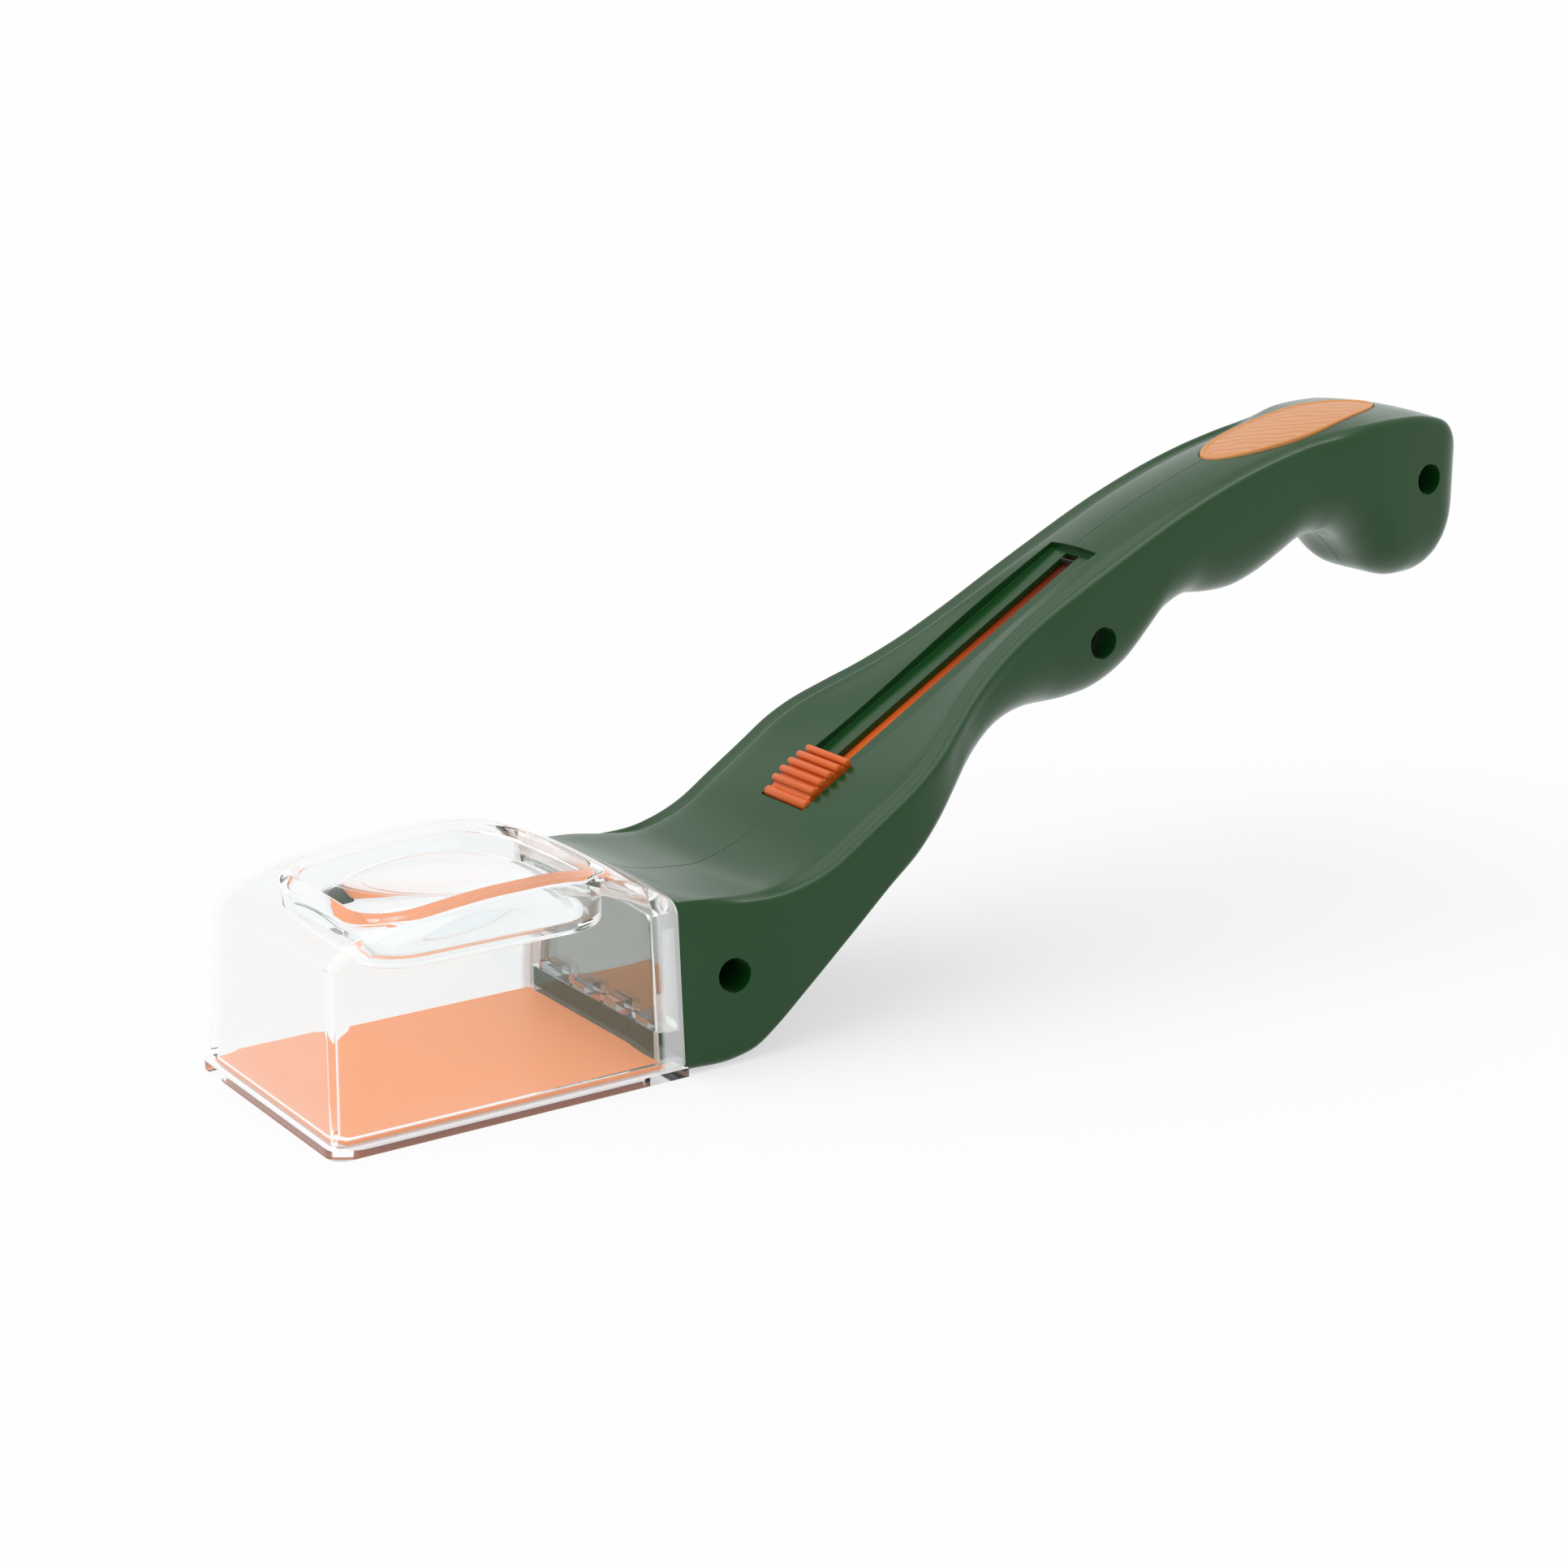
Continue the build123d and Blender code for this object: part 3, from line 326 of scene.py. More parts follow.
def joined(name, parts):
    """One object made of several meshes."""
    verts, faces = [], []
    for o in parts:
        base = len(verts)
        verts += [tuple(c / MM for c in v.co) for v in o.data.vertices]
        faces += [tuple(base + k for k in p.vertices) for p in o.data.polygons]
        bpy.data.objects.remove(o)
    return make(name, verts, faces)


def slot_point(run, y, rise):
    c, s = math.cos(slot_angle), math.sin(slot_angle)
    return (slot_front[0] + run * c - rise * s, y, slot_front[1] + run * s + rise * c)


def slot_box(name, run, half, rise):
    """Box in the channel's frame."""
    o = box(name, (run[0], -half, rise[0]), (run[1], half, rise[1]))
    for v in o.data.vertices:
        v.co = Vector(slot_point(*(c / MM for c in v.co))) * MM
    return o


def rod(name, x, z, radius, y0, y1, count=48):
    turns = [2 * math.pi * k / count for k in range(count)]
    rings = [
        [(x + radius * math.cos(a), y, z + radius * math.sin(a)) for a in turns] for y in (y0, y1)
    ]
    return face_out(loft_mesh(name, rings))


def finish_mesh(o, angle=38):
    for p in o.data.polygons:
        p.use_smooth = True
    o.data.set_sharp_from_angle(angle=math.radians(angle))
    return o


# Handle shells


def half_block(name, side, inset=0.0, first=0.0, last=2.0, over=0.0):
    """Closed half of the handle on one side of its middle plane.

    Places run from 0 at the chamber to 1 where the rounded end starts and 2 at the end itself. A
    block with over set reaches past the middle plane; the others have the groove of the seam.
    """
    start = 1 - end_round / handle_length
    straight = min(last, 1.0)
    stops = list(np.linspace(first, straight, max(2, round((straight - first) / ring_step))))
    if last > 1:
        stops += list(np.linspace(1, last, end_rings)[1:])
    rings = []
    for t in stops:
        share = t * start if t <= 1 else start + (1 - start) * math.sin(math.radians(90 * (t - 1)))
        x = along(share)
        half = half_section(min(share, 0.99999), inset)
        ring = [(x, side * (y if y > seam_gap else seam_gap - over), z) for y, z in half]
        if not over:
            low, high = half[-1][1] + seam_depth, half[0][1] - seam_depth
            ring += [(x, side * seam_touch, low), (x, side * seam_touch, max(high, low + 1.0))]
        rings.append(ring)
    return face_out(loft_mesh(name, rings))


def handle_half(name, side):
    """One shell of the handle. Its openings are cut before it is hollowed, which keeps it closed."""
    shell = half_block(name, side)
    cut(shell, slot_box("channel", (0, slot_length), channel_width / 2, (0, above_slot)))
    cut(shell, slot_box("slit", slit_run, slit_width / 2, slit_rise))
    for place in screw_places_shares:
        x, z = along(place[0]), up(place[1])
        if side < 0:
            cut(shell, rod("well", x, z, well_radius, -boss_reach, -well_floor))
        cut(shell, rod("bore", x, z, bore_radius, -well_floor - 1, bore_end))
    seat = ellipse_prism("seat", seat_gap, up(0.8), up(1.2))
    cut(seat, full_block("under", inlay_proud - inlay_thickness))
    cut(shell, seat)
    low, high = door_slot
    door = box("door", (joint_x - 5, -door_slot_half, low), (joint_x + 2.3, door_slot_half, high))
    cut(shell, door)
    hollow = half_block("hollow", side, wall, *hollow_stops, over=past_middle)
    tray = slot_box(
        "tray",
        (-channel_wall, slot_length + channel_wall),
        channel_width / 2 + channel_wall,
        (-floor_thickness, above_slot),
    )
    cut(hollow, tray)
    for place in screw_places_shares:
        x, z = along(place[0]), up(place[1])
        cut(hollow, rod("boss", x, z, boss_radius, -boss_reach, boss_reach))
    cut(shell, hollow)
    return finish_mesh(shell)


def full_block(name, lift):
    """Length of the whole handle about the inlay, its top lifted."""
    rings = []
    for share in np.linspace(0.66, 0.96, 60):
        half = half_section(share, 0.0, lift)
        right = [(along(share), y, z) for y, z in half]
        left = [(x, -y, z) for x, y, z in reversed(right[1:-1])]
        rings.append(right + left)
    return face_out(loft_mesh(name, rings))


def ellipse_prism(name, over, low, high, count=96):
    turns = [2 * math.pi * k / count for k in range(count)]
    rings = [
        [
            (
                along(inlay_centre_share) + (inlay_length / 2 + over) * math.cos(a),
                (inlay_width / 2 + over) * math.sin(a),
                z,
            )
            for a in turns
        ]
        for z in (low, high)
    ]
    return face_out(loft_mesh(name, rings))


# Chamber and lens: closed skins made of loops that run round, over, into the recess and back inside

rim_height, track_top = 1.8, 3.0
side_lean, front_lean, crown_across = 3.0, 1.8, 1.2
chamber_wall, chamber_top_wall, rear_frame_length, rear_frame_wall = 3.0, 2.2, 4.6, 4.4
corner_radius, edge_round = 3.2, 2.6
recess_front, recess_length, recess_width, recess_corner, recess_wall = 14.0, 49.0, 40.0, 9.0, 1.8
recess_floor_z, ledge_width, ledge_height = 32.4, 2.9, 1.6
recess_x = front_x + recess_front + recess_length / 2
lens_length, lens_width, lens_radius, lens_edge = 46.0, 37.0, 46.0, 1.6
sill_top, panel_x = 8.4, joint_x - 2.6
front_set_back, rear_corner_radius, inner_corner_radius = 0.75, 0.4, 1.5
foot_round, lip_round, ledge_round, tub_round, inner_round, inner_edge = 0.5, 0.8, 0.5, 1.0, 1.2, 2.0
step_places, step_half, step_height, step_x = (-18.0, -6.0, 6.0, 18.0), 3.0, 1.8, joint_x - 4.5
lens_foot_round, lens_edge_round = 0.3, 0.6


def arch_z(x, y):
    """Height of the chamber's arched top, curved both ways."""
    share = min(max((x - front_x) / chamber_length, 0.0), 1.0)
    half = chamber_width / 2 - side_lean
    return (
        smooth(arch_shares, share) * chamber_crown_height
        + crown_across * (1 - (y / half) ** 2)
    )


def loop_shares(per_side=14, per_corner=8):
    """Where each point of a rounded rectangle's loop lies: (corner signs, share along, in a corner)."""
    marks = []
    for sx, sy, nx, ny in ((1, 1, -1, 1), (-1, 1, -1, -1), (-1, -1, 1, -1), (1, -1, 1, 1)):
        for k in range(per_corner):
            marks.append((sx, sy, k / per_corner, None))
        for k in range(per_side):
            marks.append((sx, sy, k / per_side, (nx, ny)))
    return marks


marks = loop_shares()


def rounded_loop(x0, x1, half, front_radius, rear_radius):
    """Plan points of a rounded rectangle, in the same order for every size."""
    corners = {(1, 1): 0, (-1, 1): 90, (-1, -1): 180, (1, -1): 270}

    def centre(sx, sy):
        r = rear_radius if sx > 0 else front_radius
        return ((x1 - r) if sx > 0 else (x0 + r)), sy * (half - r), r

    out = []
    for sx, sy, share, nxt in marks:
        cx, cy, r = centre(sx, sy)
        if nxt is None:
            a = math.radians(corners[sx, sy] + 90 * share)
            out.append((cx + r * math.cos(a), cy + r * math.sin(a)))
        else:
            a = math.radians(corners[sx, sy] + 90)
            first = (cx + r * math.cos(a), cy + r * math.sin(a))
            dx, dy, dr = centre(*nxt)
            b = math.radians(corners[sx, sy] + 90)
            last = (dx + dr * math.cos(b), dy + dr * math.sin(b))
            out.append((first[0] * (1 - share) + last[0] * share, first[1] * (1 - share) + last[1] * share))
    return out


def wall_loop(inset, height, rear_x, radius):
    """Loop of the leaning walls moved in by inset; height gives z from the plan point."""
    front = front_x + front_set_back + inset
    plan = rounded_loop(front, rear_x, chamber_width / 2 - inset, radius, rear_corner_radius)
    out = []
    for x, y in plan:
        px, py, z = x, y, 0.0
        for _ in range(4):
            z = height(px, py)
            lean = z / chamber_crown_height
            half = chamber_width / 2 - inset
            py = y * (half - side_lean * lean) / half
            span = rear_x - front
            px = rear_x - (rear_x - x) * (span - front_lean * lean) / span
        out.append((px, py, z))
    return out


def mixed(a, b, t, height):
    out = []
    for p, q in zip(a, b):
        x, y = p[0] * (1 - t) + q[0] * t, p[1] * (1 - t) + q[1] * t
        out.append((x, y, height(x, y)))
    return out


def recess_loop(over, height):
    """Loop round the lens recess, larger by over."""
    plan = rounded_loop(
        recess_x - recess_length / 2 - over,
        recess_x + recess_length / 2 + over,
        recess_width / 2 + over,
        recess_corner + over,
        recess_corner + over,
    )
    return [(x, y, height(x, y)) for x, y in plan]


def arc(count):
    """Sines and cosines of a quarter turn, ends included."""
    return [(math.sin(a), math.cos(a)) for a in np.linspace(0, math.pi / 2, count)]


def level(z):
    return lambda x, y: z


def arch(drop=0.0):
    return lambda x, y: arch_z(x, y) - drop


def between(low, high, share):
    """Height that goes from one surface to another."""
    return lambda x, y: low(x, y) * (1 - share) + high(x, y) * share


def chamber_skin():
    """The clear box, as one closed surface of loops."""
    rows = []
    # outside wall, from the rim up to the rounded top edge
    for s, c in arc(3):
        z = level(rim_height + foot_round * (1 - c))
        rows.append(wall_loop(foot_round * (1 - s), z, joint_x, corner_radius))
    foot_top = level(rim_height + foot_round)
    for share in (0.2, 0.4, 0.6, 0.8, 1.0):
        rows.append(wall_loop(0, between(foot_top, arch(edge_round), share), joint_x, corner_radius))
    for s, c in arc(7)[1:]:
        rear_x = joint_x - 0.3 * (1 - c)
        rows.append(wall_loop(edge_round * (1 - c), arch(edge_round * (1 - s)), rear_x, corner_radius))
    # over the top to the recess and down to its floor
    edge, rim = rows[-1], recess_loop(lip_round, arch())
    for t in (0.25, 0.5, 0.75):
        rows.append(mixed(edge, rim, t, arch()))
    for s, c in arc(5):
        rows.append(recess_loop(lip_round * (1 - s), arch(lip_round * (1 - c))))
    for share in (0.33, 0.67):
        rows.append(recess_loop(0, between(arch(lip_round), level(recess_floor_z + ledge_round), share)))
    for s, c in arc(4):
        rows.append(recess_loop(-ledge_round * (1 - c), level(recess_floor_z + ledge_round * (1 - s))))
    # ledge, its edge, and the underside of the tub
    ledge_low = recess_floor_z - ledge_height
    for s, c in arc(4):
        z = level(recess_floor_z - ledge_round * (1 - c))
        rows.append(recess_loop(-ledge_width + ledge_round * (1 - s), z))
    for s, c in arc(4):
        z = level(ledge_low + ledge_round * (1 - s))
        rows.append(recess_loop(-ledge_width + ledge_round * (1 - c), z))
    for s, c in arc(5):
        rows.append(recess_loop(recess_wall - tub_round * (1 - s), level(ledge_low + tub_round * (1 - c))))
    tub_top = arch(chamber_top_wall + inner_round)
    for share in (0.5, 1.0):
        rows.append(recess_loop(recess_wall, between(level(ledge_low + tub_round), tub_top, share)))
    for s, c in arc(4)[1:]:
        z = arch(chamber_top_wall + inner_round * (1 - s))
        rows.append(recess_loop(recess_wall + inner_round * (1 - c), z))
    # ceiling, and down the inside of the walls to the groove of the shutter
    ceiling = rows[-1]
    rear = joint_x - rear_frame_length
    top_z = arch(chamber_top_wall)
    top_inner = wall_loop(chamber_wall + inner_edge, top_z, rear - inner_edge, corner_radius)
    for t in (0.33, 0.67):
        rows.append(mixed(ceiling, top_inner, t, top_z))
    for s, c in arc(6):
        inset, z = inner_edge * (1 - s), arch(chamber_top_wall + inner_edge * (1 - c))
        rows.append(wall_loop(chamber_wall + inset, z, rear - inset, inner_corner_radius))
    wall_top, wall_end = arch(chamber_top_wall + inner_edge), level(track_top + 0.2)
    for share in (0.25, 0.5, 0.75, 1.0):
        z = between(wall_top, wall_end, share)
        rows.append(wall_loop(chamber_wall, z, rear, inner_corner_radius))
    for out, z in ((0.2, track_top), (1.1, track_top), (1.15, rim_height)):
        rows.append(wall_loop(chamber_wall - out, level(z), rear + out, inner_corner_radius))
    rows.append(wall_loop(foot_round + 0.4, level(rim_height), joint_x - 0.2, corner_radius))
    n = len(rows[0])
    verts = [p for row in rows for p in row]
    faces = []
    for r in range(len(rows)):
        after = (r + 1) % len(rows)
        for k in range(n):
            turn = (k + 1) % n
            faces.append((r * n + k, r * n + turn, after * n + turn, after * n + k))
    skin = face_out(make("chamber_clear", verts, faces))
    # opening through the rear frame, the panel's rabbet, and the slot of the shutter
    cut(skin, rear_opening("opening", rear_frame_wall, rear - 1.5, joint_x + 1))
    cut(skin, rear_opening("rabbet", rear_frame_wall - 1.0, panel_x, joint_x + 1))
    cut(skin, box("slot", (rear - 1, -door_slot_half, 1.0), (joint_x + 1, door_slot_half, track_top)))
    low, high = sill_top - 0.05, sill_top + step_height
    steps = [
        box("step", (step_x, y - step_half, low), (panel_x, y + step_half, high)) for y in step_places
    ]
    return finish_mesh(joined("chamber_clear", [skin, *steps]), 30)


def rear_opening(name, inset, x0, x1):
    """Arched opening with rounded top corners, as a prism along X."""
    r = 2.0

    def top(y):
        return arch_z(joint_x - 2, y) - inset

    def half(z):
        return chamber_width / 2 - side_lean * z / chamber_crown_height - inset

    top_half = half(top(0))
    ring = []
    for k in range(17):
        y = (top_half - r) * (1 - 2 * k / 16)
        ring.append((y, top(y)))
    corner_z = top(top_half - r) - r
    left = [(-(top_half - r) - r * s, corner_z + r * c) for s, c in arc(6)[1:]]
    right = [(-y, z) for y, z in reversed(left)]
    ring = right + ring + left
    ring += [(-half(sill_top), sill_top), (half(sill_top), sill_top)]
    rings = [[(x, y, z) for y, z in ring] for x in (x0, x1)]
    return face_out(loft_mesh(name, rings))


def lens_skin():
    """Thick lens: a flat foot and a domed top on a rounded rectangle."""
    gap = (recess_length - lens_length) / 2
    corner = recess_corner - gap
    cut_back = corner * (1 - math.sqrt(0.5))
    reach = math.hypot(lens_length / 2 - cut_back, lens_width / 2 - cut_back)
    height = lens_edge + lens_radius - math.sqrt(lens_radius**2 - reach**2)
    centre_z = recess_floor_z + height - lens_radius

    def dome(x, y):
        return centre_z + math.sqrt(lens_radius**2 - (x - recess_x) ** 2 - y**2)

    def ring(over, z):
        reach_x, radius = lens_length / 2 + over, corner + over
        plan = rounded_loop(recess_x - reach_x, recess_x + reach_x, lens_width / 2 + over, radius, radius)
        return [(x, y, z(x, y)) for x, y in plan]

    rows = []
    for share in (0.05, 0.35, 0.65, 0.9):
        foot = ring(-0.5, level(recess_floor_z))
        rows.append([((x - recess_x) * share + recess_x, y * share, z) for x, y, z in foot])
    for s, c in arc(4):
        z = level(recess_floor_z + lens_foot_round * (1 - c))
        rows.append(ring(-lens_foot_round * (1 - s), z))
    for s, c in arc(5):
        drop = lens_edge_round * (1 - s)
        rows.append(ring(-lens_edge_round * (1 - c), lambda x, y: dome(x, y) - drop))
    edge = rows[-1]
    for share in (0.93, 0.86, 0.78, 0.7, 0.6, 0.5, 0.4, 0.3, 0.2, 0.1, 0.03):
        row = []
        for x, y, z in edge:
            px, py = recess_x + (x - recess_x) * share, y * share
            row.append((px, py, dome(px, py)))
        rows.append(row)
    return finish_mesh(face_out(loft_mesh("lens_clear", rows)), 50)


# Slider, shutter and inlay

button_run, button_half, rib_round = (0.4, 14.9), 7.2, 0.35
rib_shrink = {0.0: 1.0, 0.3: 0.3, 1.0: 0.0}
stem_outline, stem_half = ((3.0, -2.7), (12.3, -2.7), (12.3, 1.0), (3.0, 1.0)), 1.7
door_front, door_half, door_corner, sheet_round = front_x + 2.95, 26.6, 1.6, 0.12
lower_bend, upper_bend = 0.5176 * 42.51, 0.588 * 42.51
band_gap, band_straight_from, band_flat_reach, band_overlap = 0.3, -1.65, 2.0, 1.6
# inlay from its underside over the rim to the field: distance in from the edge, height on the top
inlay_profile = (
    (6.0, -1.15), (0.0, -1.15), (0.0, 0.1), (0.08, 0.25), (0.25, inlay_proud), (0.85, inlay_proud),
    (1.05, 0.2), (1.3, 0.08), (1.7, 0.1), (3.0, 0.16), (5.0, 0.2), (7.5, 0.22),
)  # fmt: skip


def prism(name, outline, half, place=None):
    """Plate across the handle: an outline in a side view, drawn out to both sides."""
    place = place or (lambda a, y, b: (a, y, b))
    rings = [[place(a, y, b) for a, b in outline] for y in (-half, half)]
    return face_out(loft_mesh(name, rings))


def rib(run, rise, radius, half, count=18):
    """Rounded bar across the thumb slider."""
    turns = [2 * math.pi * k / count for k in range(count)]
    rings = []
    for side, places in ((-1, (0.0, 0.3, 1.0)), (1, (1.0, 0.3, 0.0))):
        for place in places:
            y = side * (half - rib_round * place)
            r = radius - rib_round * rib_shrink[place]
            rings.append([slot_point(run + r * math.cos(a), y, rise + r * math.sin(a)) for a in turns])
    return face_out(loft_mesh("rib", rings))


def slider_button():
    """Ribbed button: a low domed body, a bolder rib at its front and five ribs over the dome."""
    run0, run1 = button_run
    body = [(run0 + 0.5, 0.1), (run0 + 0.3, 0.7), (run0 + 1.2, 1.6)]
    for k in range(9):
        t = k / 8
        body.append((run0 + 2.2 + (run1 - run0 - 2.5) * t, 2.15 + 0.75 * math.sin(math.pi * t)))
    body.append((run1 - 0.3, 0.1))
    parts = [prism("body", body, button_half - 0.55, slot_point)]
    parts.append(prism("stem", stem_outline, stem_half, slot_point))
    parts.append(rib(run0 + 1.25, 1.35, 1.2, button_half))
    for k in range(1, 6):
        t = k / 5
        run, rise = run0 + 1.55 + (run1 - run0 - 2.5) * t, 2.35 + 0.95 * math.sin(math.pi * t * 0.86)
        parts.append(rib(run, rise, 0.86, button_half))
    return finish_mesh(joined("slider_button", parts), 50)


def door_sheet():
    """Flat part of the shutter, the floor of the closed chamber."""
    loop = rounded_loop(door_front, joint_x - 2.0, door_half, door_corner, door_corner)
    half = sheet_thickness / 2
    low, high = sheet_z - half, sheet_z + half
    rows = []
    for over, z in (
        (-sheet_round, low),
        (0.0, low + sheet_round),
        (0.0, high - sheet_round),
        (-sheet_round, high),
    ):
        rows.append([
            (x + over * math.copysign(1, x - recess_x), y + over * math.copysign(1, y), z) for x, y in loop
        ])  # fmt: skip
    return finish_mesh(face_out(loft_mesh("shutter_in_chamber", rows)), 30)


def band_sheet():
    """Part of the shutter that runs up the neck and along under the slit, in side view."""
    slope = slot_angle
    drop = floor_thickness + band_gap + sheet_thickness / 2

    def under_slot(run):
        return (
            slot_front[0] + run * math.cos(slope) + drop * math.sin(slope),
            slot_front[1] + run * math.sin(slope) - drop * math.cos(slope),
        )

    on_slope = under_slot(band_straight_from)
    flat_end = joint_x + band_flat_reach
    low_c = (flat_end, sheet_z + lower_bend)
    up_c = (on_slope[0] + upper_bend * math.sin(slope), on_slope[1] - upper_bend * math.cos(slope))
    dx, dz = up_c[0] - low_c[0], up_c[1] - low_c[1]
    neck = math.atan2(dz, dx) + math.asin((lower_bend + upper_bend) / math.hypot(dx, dz))
    line = [(joint_x - band_overlap, sheet_z, 0.0), (flat_end, sheet_z, 0.0)]
    for k in range(1, 13):
        a = neck * k / 12
        line.append((low_c[0] + lower_bend * math.sin(a), low_c[1] - lower_bend * math.cos(a), a))
    for k in range(13):
        a = neck + (slope - neck) * k / 12
        line.append((up_c[0] - upper_bend * math.sin(a), up_c[1] + upper_bend * math.cos(a), a))
    line += [(*under_slot(run), slope) for run in (20.0, 60.0, slot_length)]
    t = sheet_thickness / 2
    over = [(x - t * math.sin(a), z + t * math.cos(a)) for x, z, a in line]
    under = [(x + t * math.sin(a), z - t * math.cos(a)) for x, z, a in reversed(line)]
    return finish_mesh(prism("shutter_in_handle", over + under, band_half), 20)


def inlay_plate():
    """Oval plate that follows the handle's top, with a rim and a sunk field inside it."""
    centre = along(inlay_centre_share)
    a0, b0 = inlay_length / 2, inlay_width / 2

    def ring(inner, lift, count=120):
        out = []
        for k in range(count):
            t = 2 * math.pi * k / count
            x, y = centre + (a0 - inner) * math.cos(t), (b0 - inner) * math.sin(t)
            out.append((x, y, surface_z(x, y) + lift))
        return out

    rows = [ring(inner, lift) for inner, lift in inlay_profile]
    for share in (0.75, 0.5, 0.25, 0.05):
        row = []
        for x, y, _ in rows[len(inlay_profile) - 1]:
            px, py = centre + (x - centre) * share, y * share
            row.append((px, py, surface_z(px, py) + inlay_profile[-1][1]))
        rows.append(row)
    return finish_mesh(face_out(loft_mesh("inlay_plate", rows)), 50)


def surface_z(x, y):
    """Height of the handle's crowned top at a point in plan."""
    share = (x - joint_x) / handle_length
    half = smooth(top_half_shares, share) * handle_width
    edge = up(smooth(top_edge_shares, share))
    crown = top_z(share)
    t = min(abs(y) / half, 1.0)
    return crown * (1 - t**2) + edge * t**2


# Materials

strong_orange = (0.64, 0.112, 0.012)
clear_colour = (0.975, 0.985, 0.993)
frame_side, frame_top = 23.2, 33.0


def material(name, colour, rough=0.4, **extra):
    m = bpy.data.materials.new(name)
    m.use_nodes = True
    b = m.node_tree.nodes["Principled BSDF"]
    b.inputs["Base Color"].default_value = (*colour, 1)
    b.inputs["Roughness"].default_value = rough
    for key, value in extra.items():
        b.inputs[key.replace("_", " ")].default_value = value
    return m


def linked(tree, kind, *inputs):
    """Output of a math node fed with numbers and with other nodes' outputs."""
    node = tree.nodes.new("ShaderNodeMath")
    node.operation = kind
    for socket, value in zip(node.inputs, inputs):
        if isinstance(value, float):
            socket.default_value = value
        else:
            tree.links.new(value, socket)
    return node.outputs["Value"]


def place_along(m, first, last):
    """Node that goes from 0 to 1 between two places along X, and the object's coordinates."""
    n, links = m.node_tree.nodes, m.node_tree.links
    coords, split, turn = (n.new("ShaderNode" + k) for k in ("TexCoord", "SeparateXYZ", "MapRange"))
    links.new(coords.outputs["Object"], split.inputs["Vector"])
    links.new(split.outputs["X"], turn.inputs["Value"])
    turn.inputs["From Min"].default_value = first * MM
    turn.inputs["From Max"].default_value = last * MM
    return turn, split


def moulded(m, edge=0.0):
    """Fine moulded grain and, if asked, softened edges."""
    n, links = m.node_tree.nodes, m.node_tree.links
    noise = n.new("ShaderNodeTexNoise")
    noise.inputs["Scale"].default_value = 900
    noise.inputs["Detail"].default_value = 3
    coords = n.new("ShaderNodeTexCoord")
    links.new(coords.outputs["Object"], noise.inputs["Vector"])
    bump = n.new("ShaderNodeBump")
    bump.inputs["Strength"].default_value = 0.06
    bump.inputs["Distance"].default_value = 0.0001
    links.new(noise.outputs["Fac"], bump.inputs["Height"])
    if edge:
        bevel = n.new("ShaderNodeBevel")
        bevel.inputs["Radius"].default_value = edge
        links.new(bevel.outputs["Normal"], bump.inputs["Normal"])
    links.new(bump.outputs["Normal"], n["Principled BSDF"].inputs["Normal"])
    return m


def lets_light_in(m):
    """Clear plastic that light from the lamps and the surroundings passes straight through."""
    tree = m.node_tree
    n, links = tree.nodes, tree.links
    mix, path, through = (
        n.new("ShaderNode" + kind) for kind in ("MixShader", "LightPath", "BsdfTransparent")
    )
    share = path.outputs["Is Shadow Ray"]
    for name, most in (("Is Diffuse Ray", 0.5), ("Glossy Depth", 1.5), ("Transmission Depth", 9.5)):
        share = linked(tree, "MAXIMUM", share, linked(tree, "GREATER_THAN", path.outputs[name], most))
    links.new(share, mix.inputs["Fac"])
    links.new(n["Principled BSDF"].outputs["BSDF"], mix.inputs[1])
    links.new(through.outputs["BSDF"], mix.inputs[2])
    links.new(mix.outputs["Shader"], n["Material Output"].inputs["Surface"])
    return m


def seen_directly(tree):
    """1 for what the camera sees itself, in a reflection or through clear plastic, otherwise 0."""
    path = tree.nodes.new("ShaderNodeLightPath")
    share = path.outputs["Is Camera Ray"]
    for name in ("Is Glossy Ray", "Is Transmission Ray"):
        share = linked(tree, "MAXIMUM", share, path.outputs[name])
    return share


def paint_frame_reflection(m):
    """Paints the clear plastic half diffuse white in the thick frame that meets the handle: a painted
    reflection of the white surroundings.
    """
    tree = m.node_tree
    turn, split = place_along(m, joint_x - 5.4, joint_x - 4.4)
    turn.inputs["To Max"].default_value = 0.5
    across = linked(tree, "ABSOLUTE", split.outputs["Y"], 0.0)
    aside = linked(tree, "GREATER_THAN", across, frame_side * MM)
    above = linked(tree, "GREATER_THAN", split.outputs["Z"], frame_top * MM)
    either = linked(tree, "MAXIMUM", aside, above)
    painted_white = linked(tree, "MULTIPLY", turn.outputs["Result"], either)
    weight = linked(tree, "SUBTRACT", 1.0, painted_white)
    tree.links.new(weight, tree.nodes["Principled BSDF"].inputs["Transmission Weight"])
    return m


def painted_shade_behind(m):
    """Painted shade: deep red-brown towards the rear of the slot, where the strip lies in the dark of the
    slot.
    """
    n, links = m.node_tree.nodes, m.node_tree.links
    turn, _ = place_along(m, slot_front[0] + 22, slot_front[0] + 76)
    # painted shade: orange at the front of the slot, near black at its rear
    ramp = n.new("ShaderNodeValToRGB")
    links.new(turn.outputs["Result"], ramp.inputs["Fac"])
    ramp.color_ramp.elements[0].color = (*strong_orange, 1)
    ramp.color_ramp.elements[1].color = (0.05, 0.006, 0.001, 1)
    middle = ramp.color_ramp.elements.new(0.6)
    middle.color = (0.27, 0.035, 0.004, 1)
    links.new(ramp.outputs["Color"], n["Principled BSDF"].inputs["Base Color"])
    return m


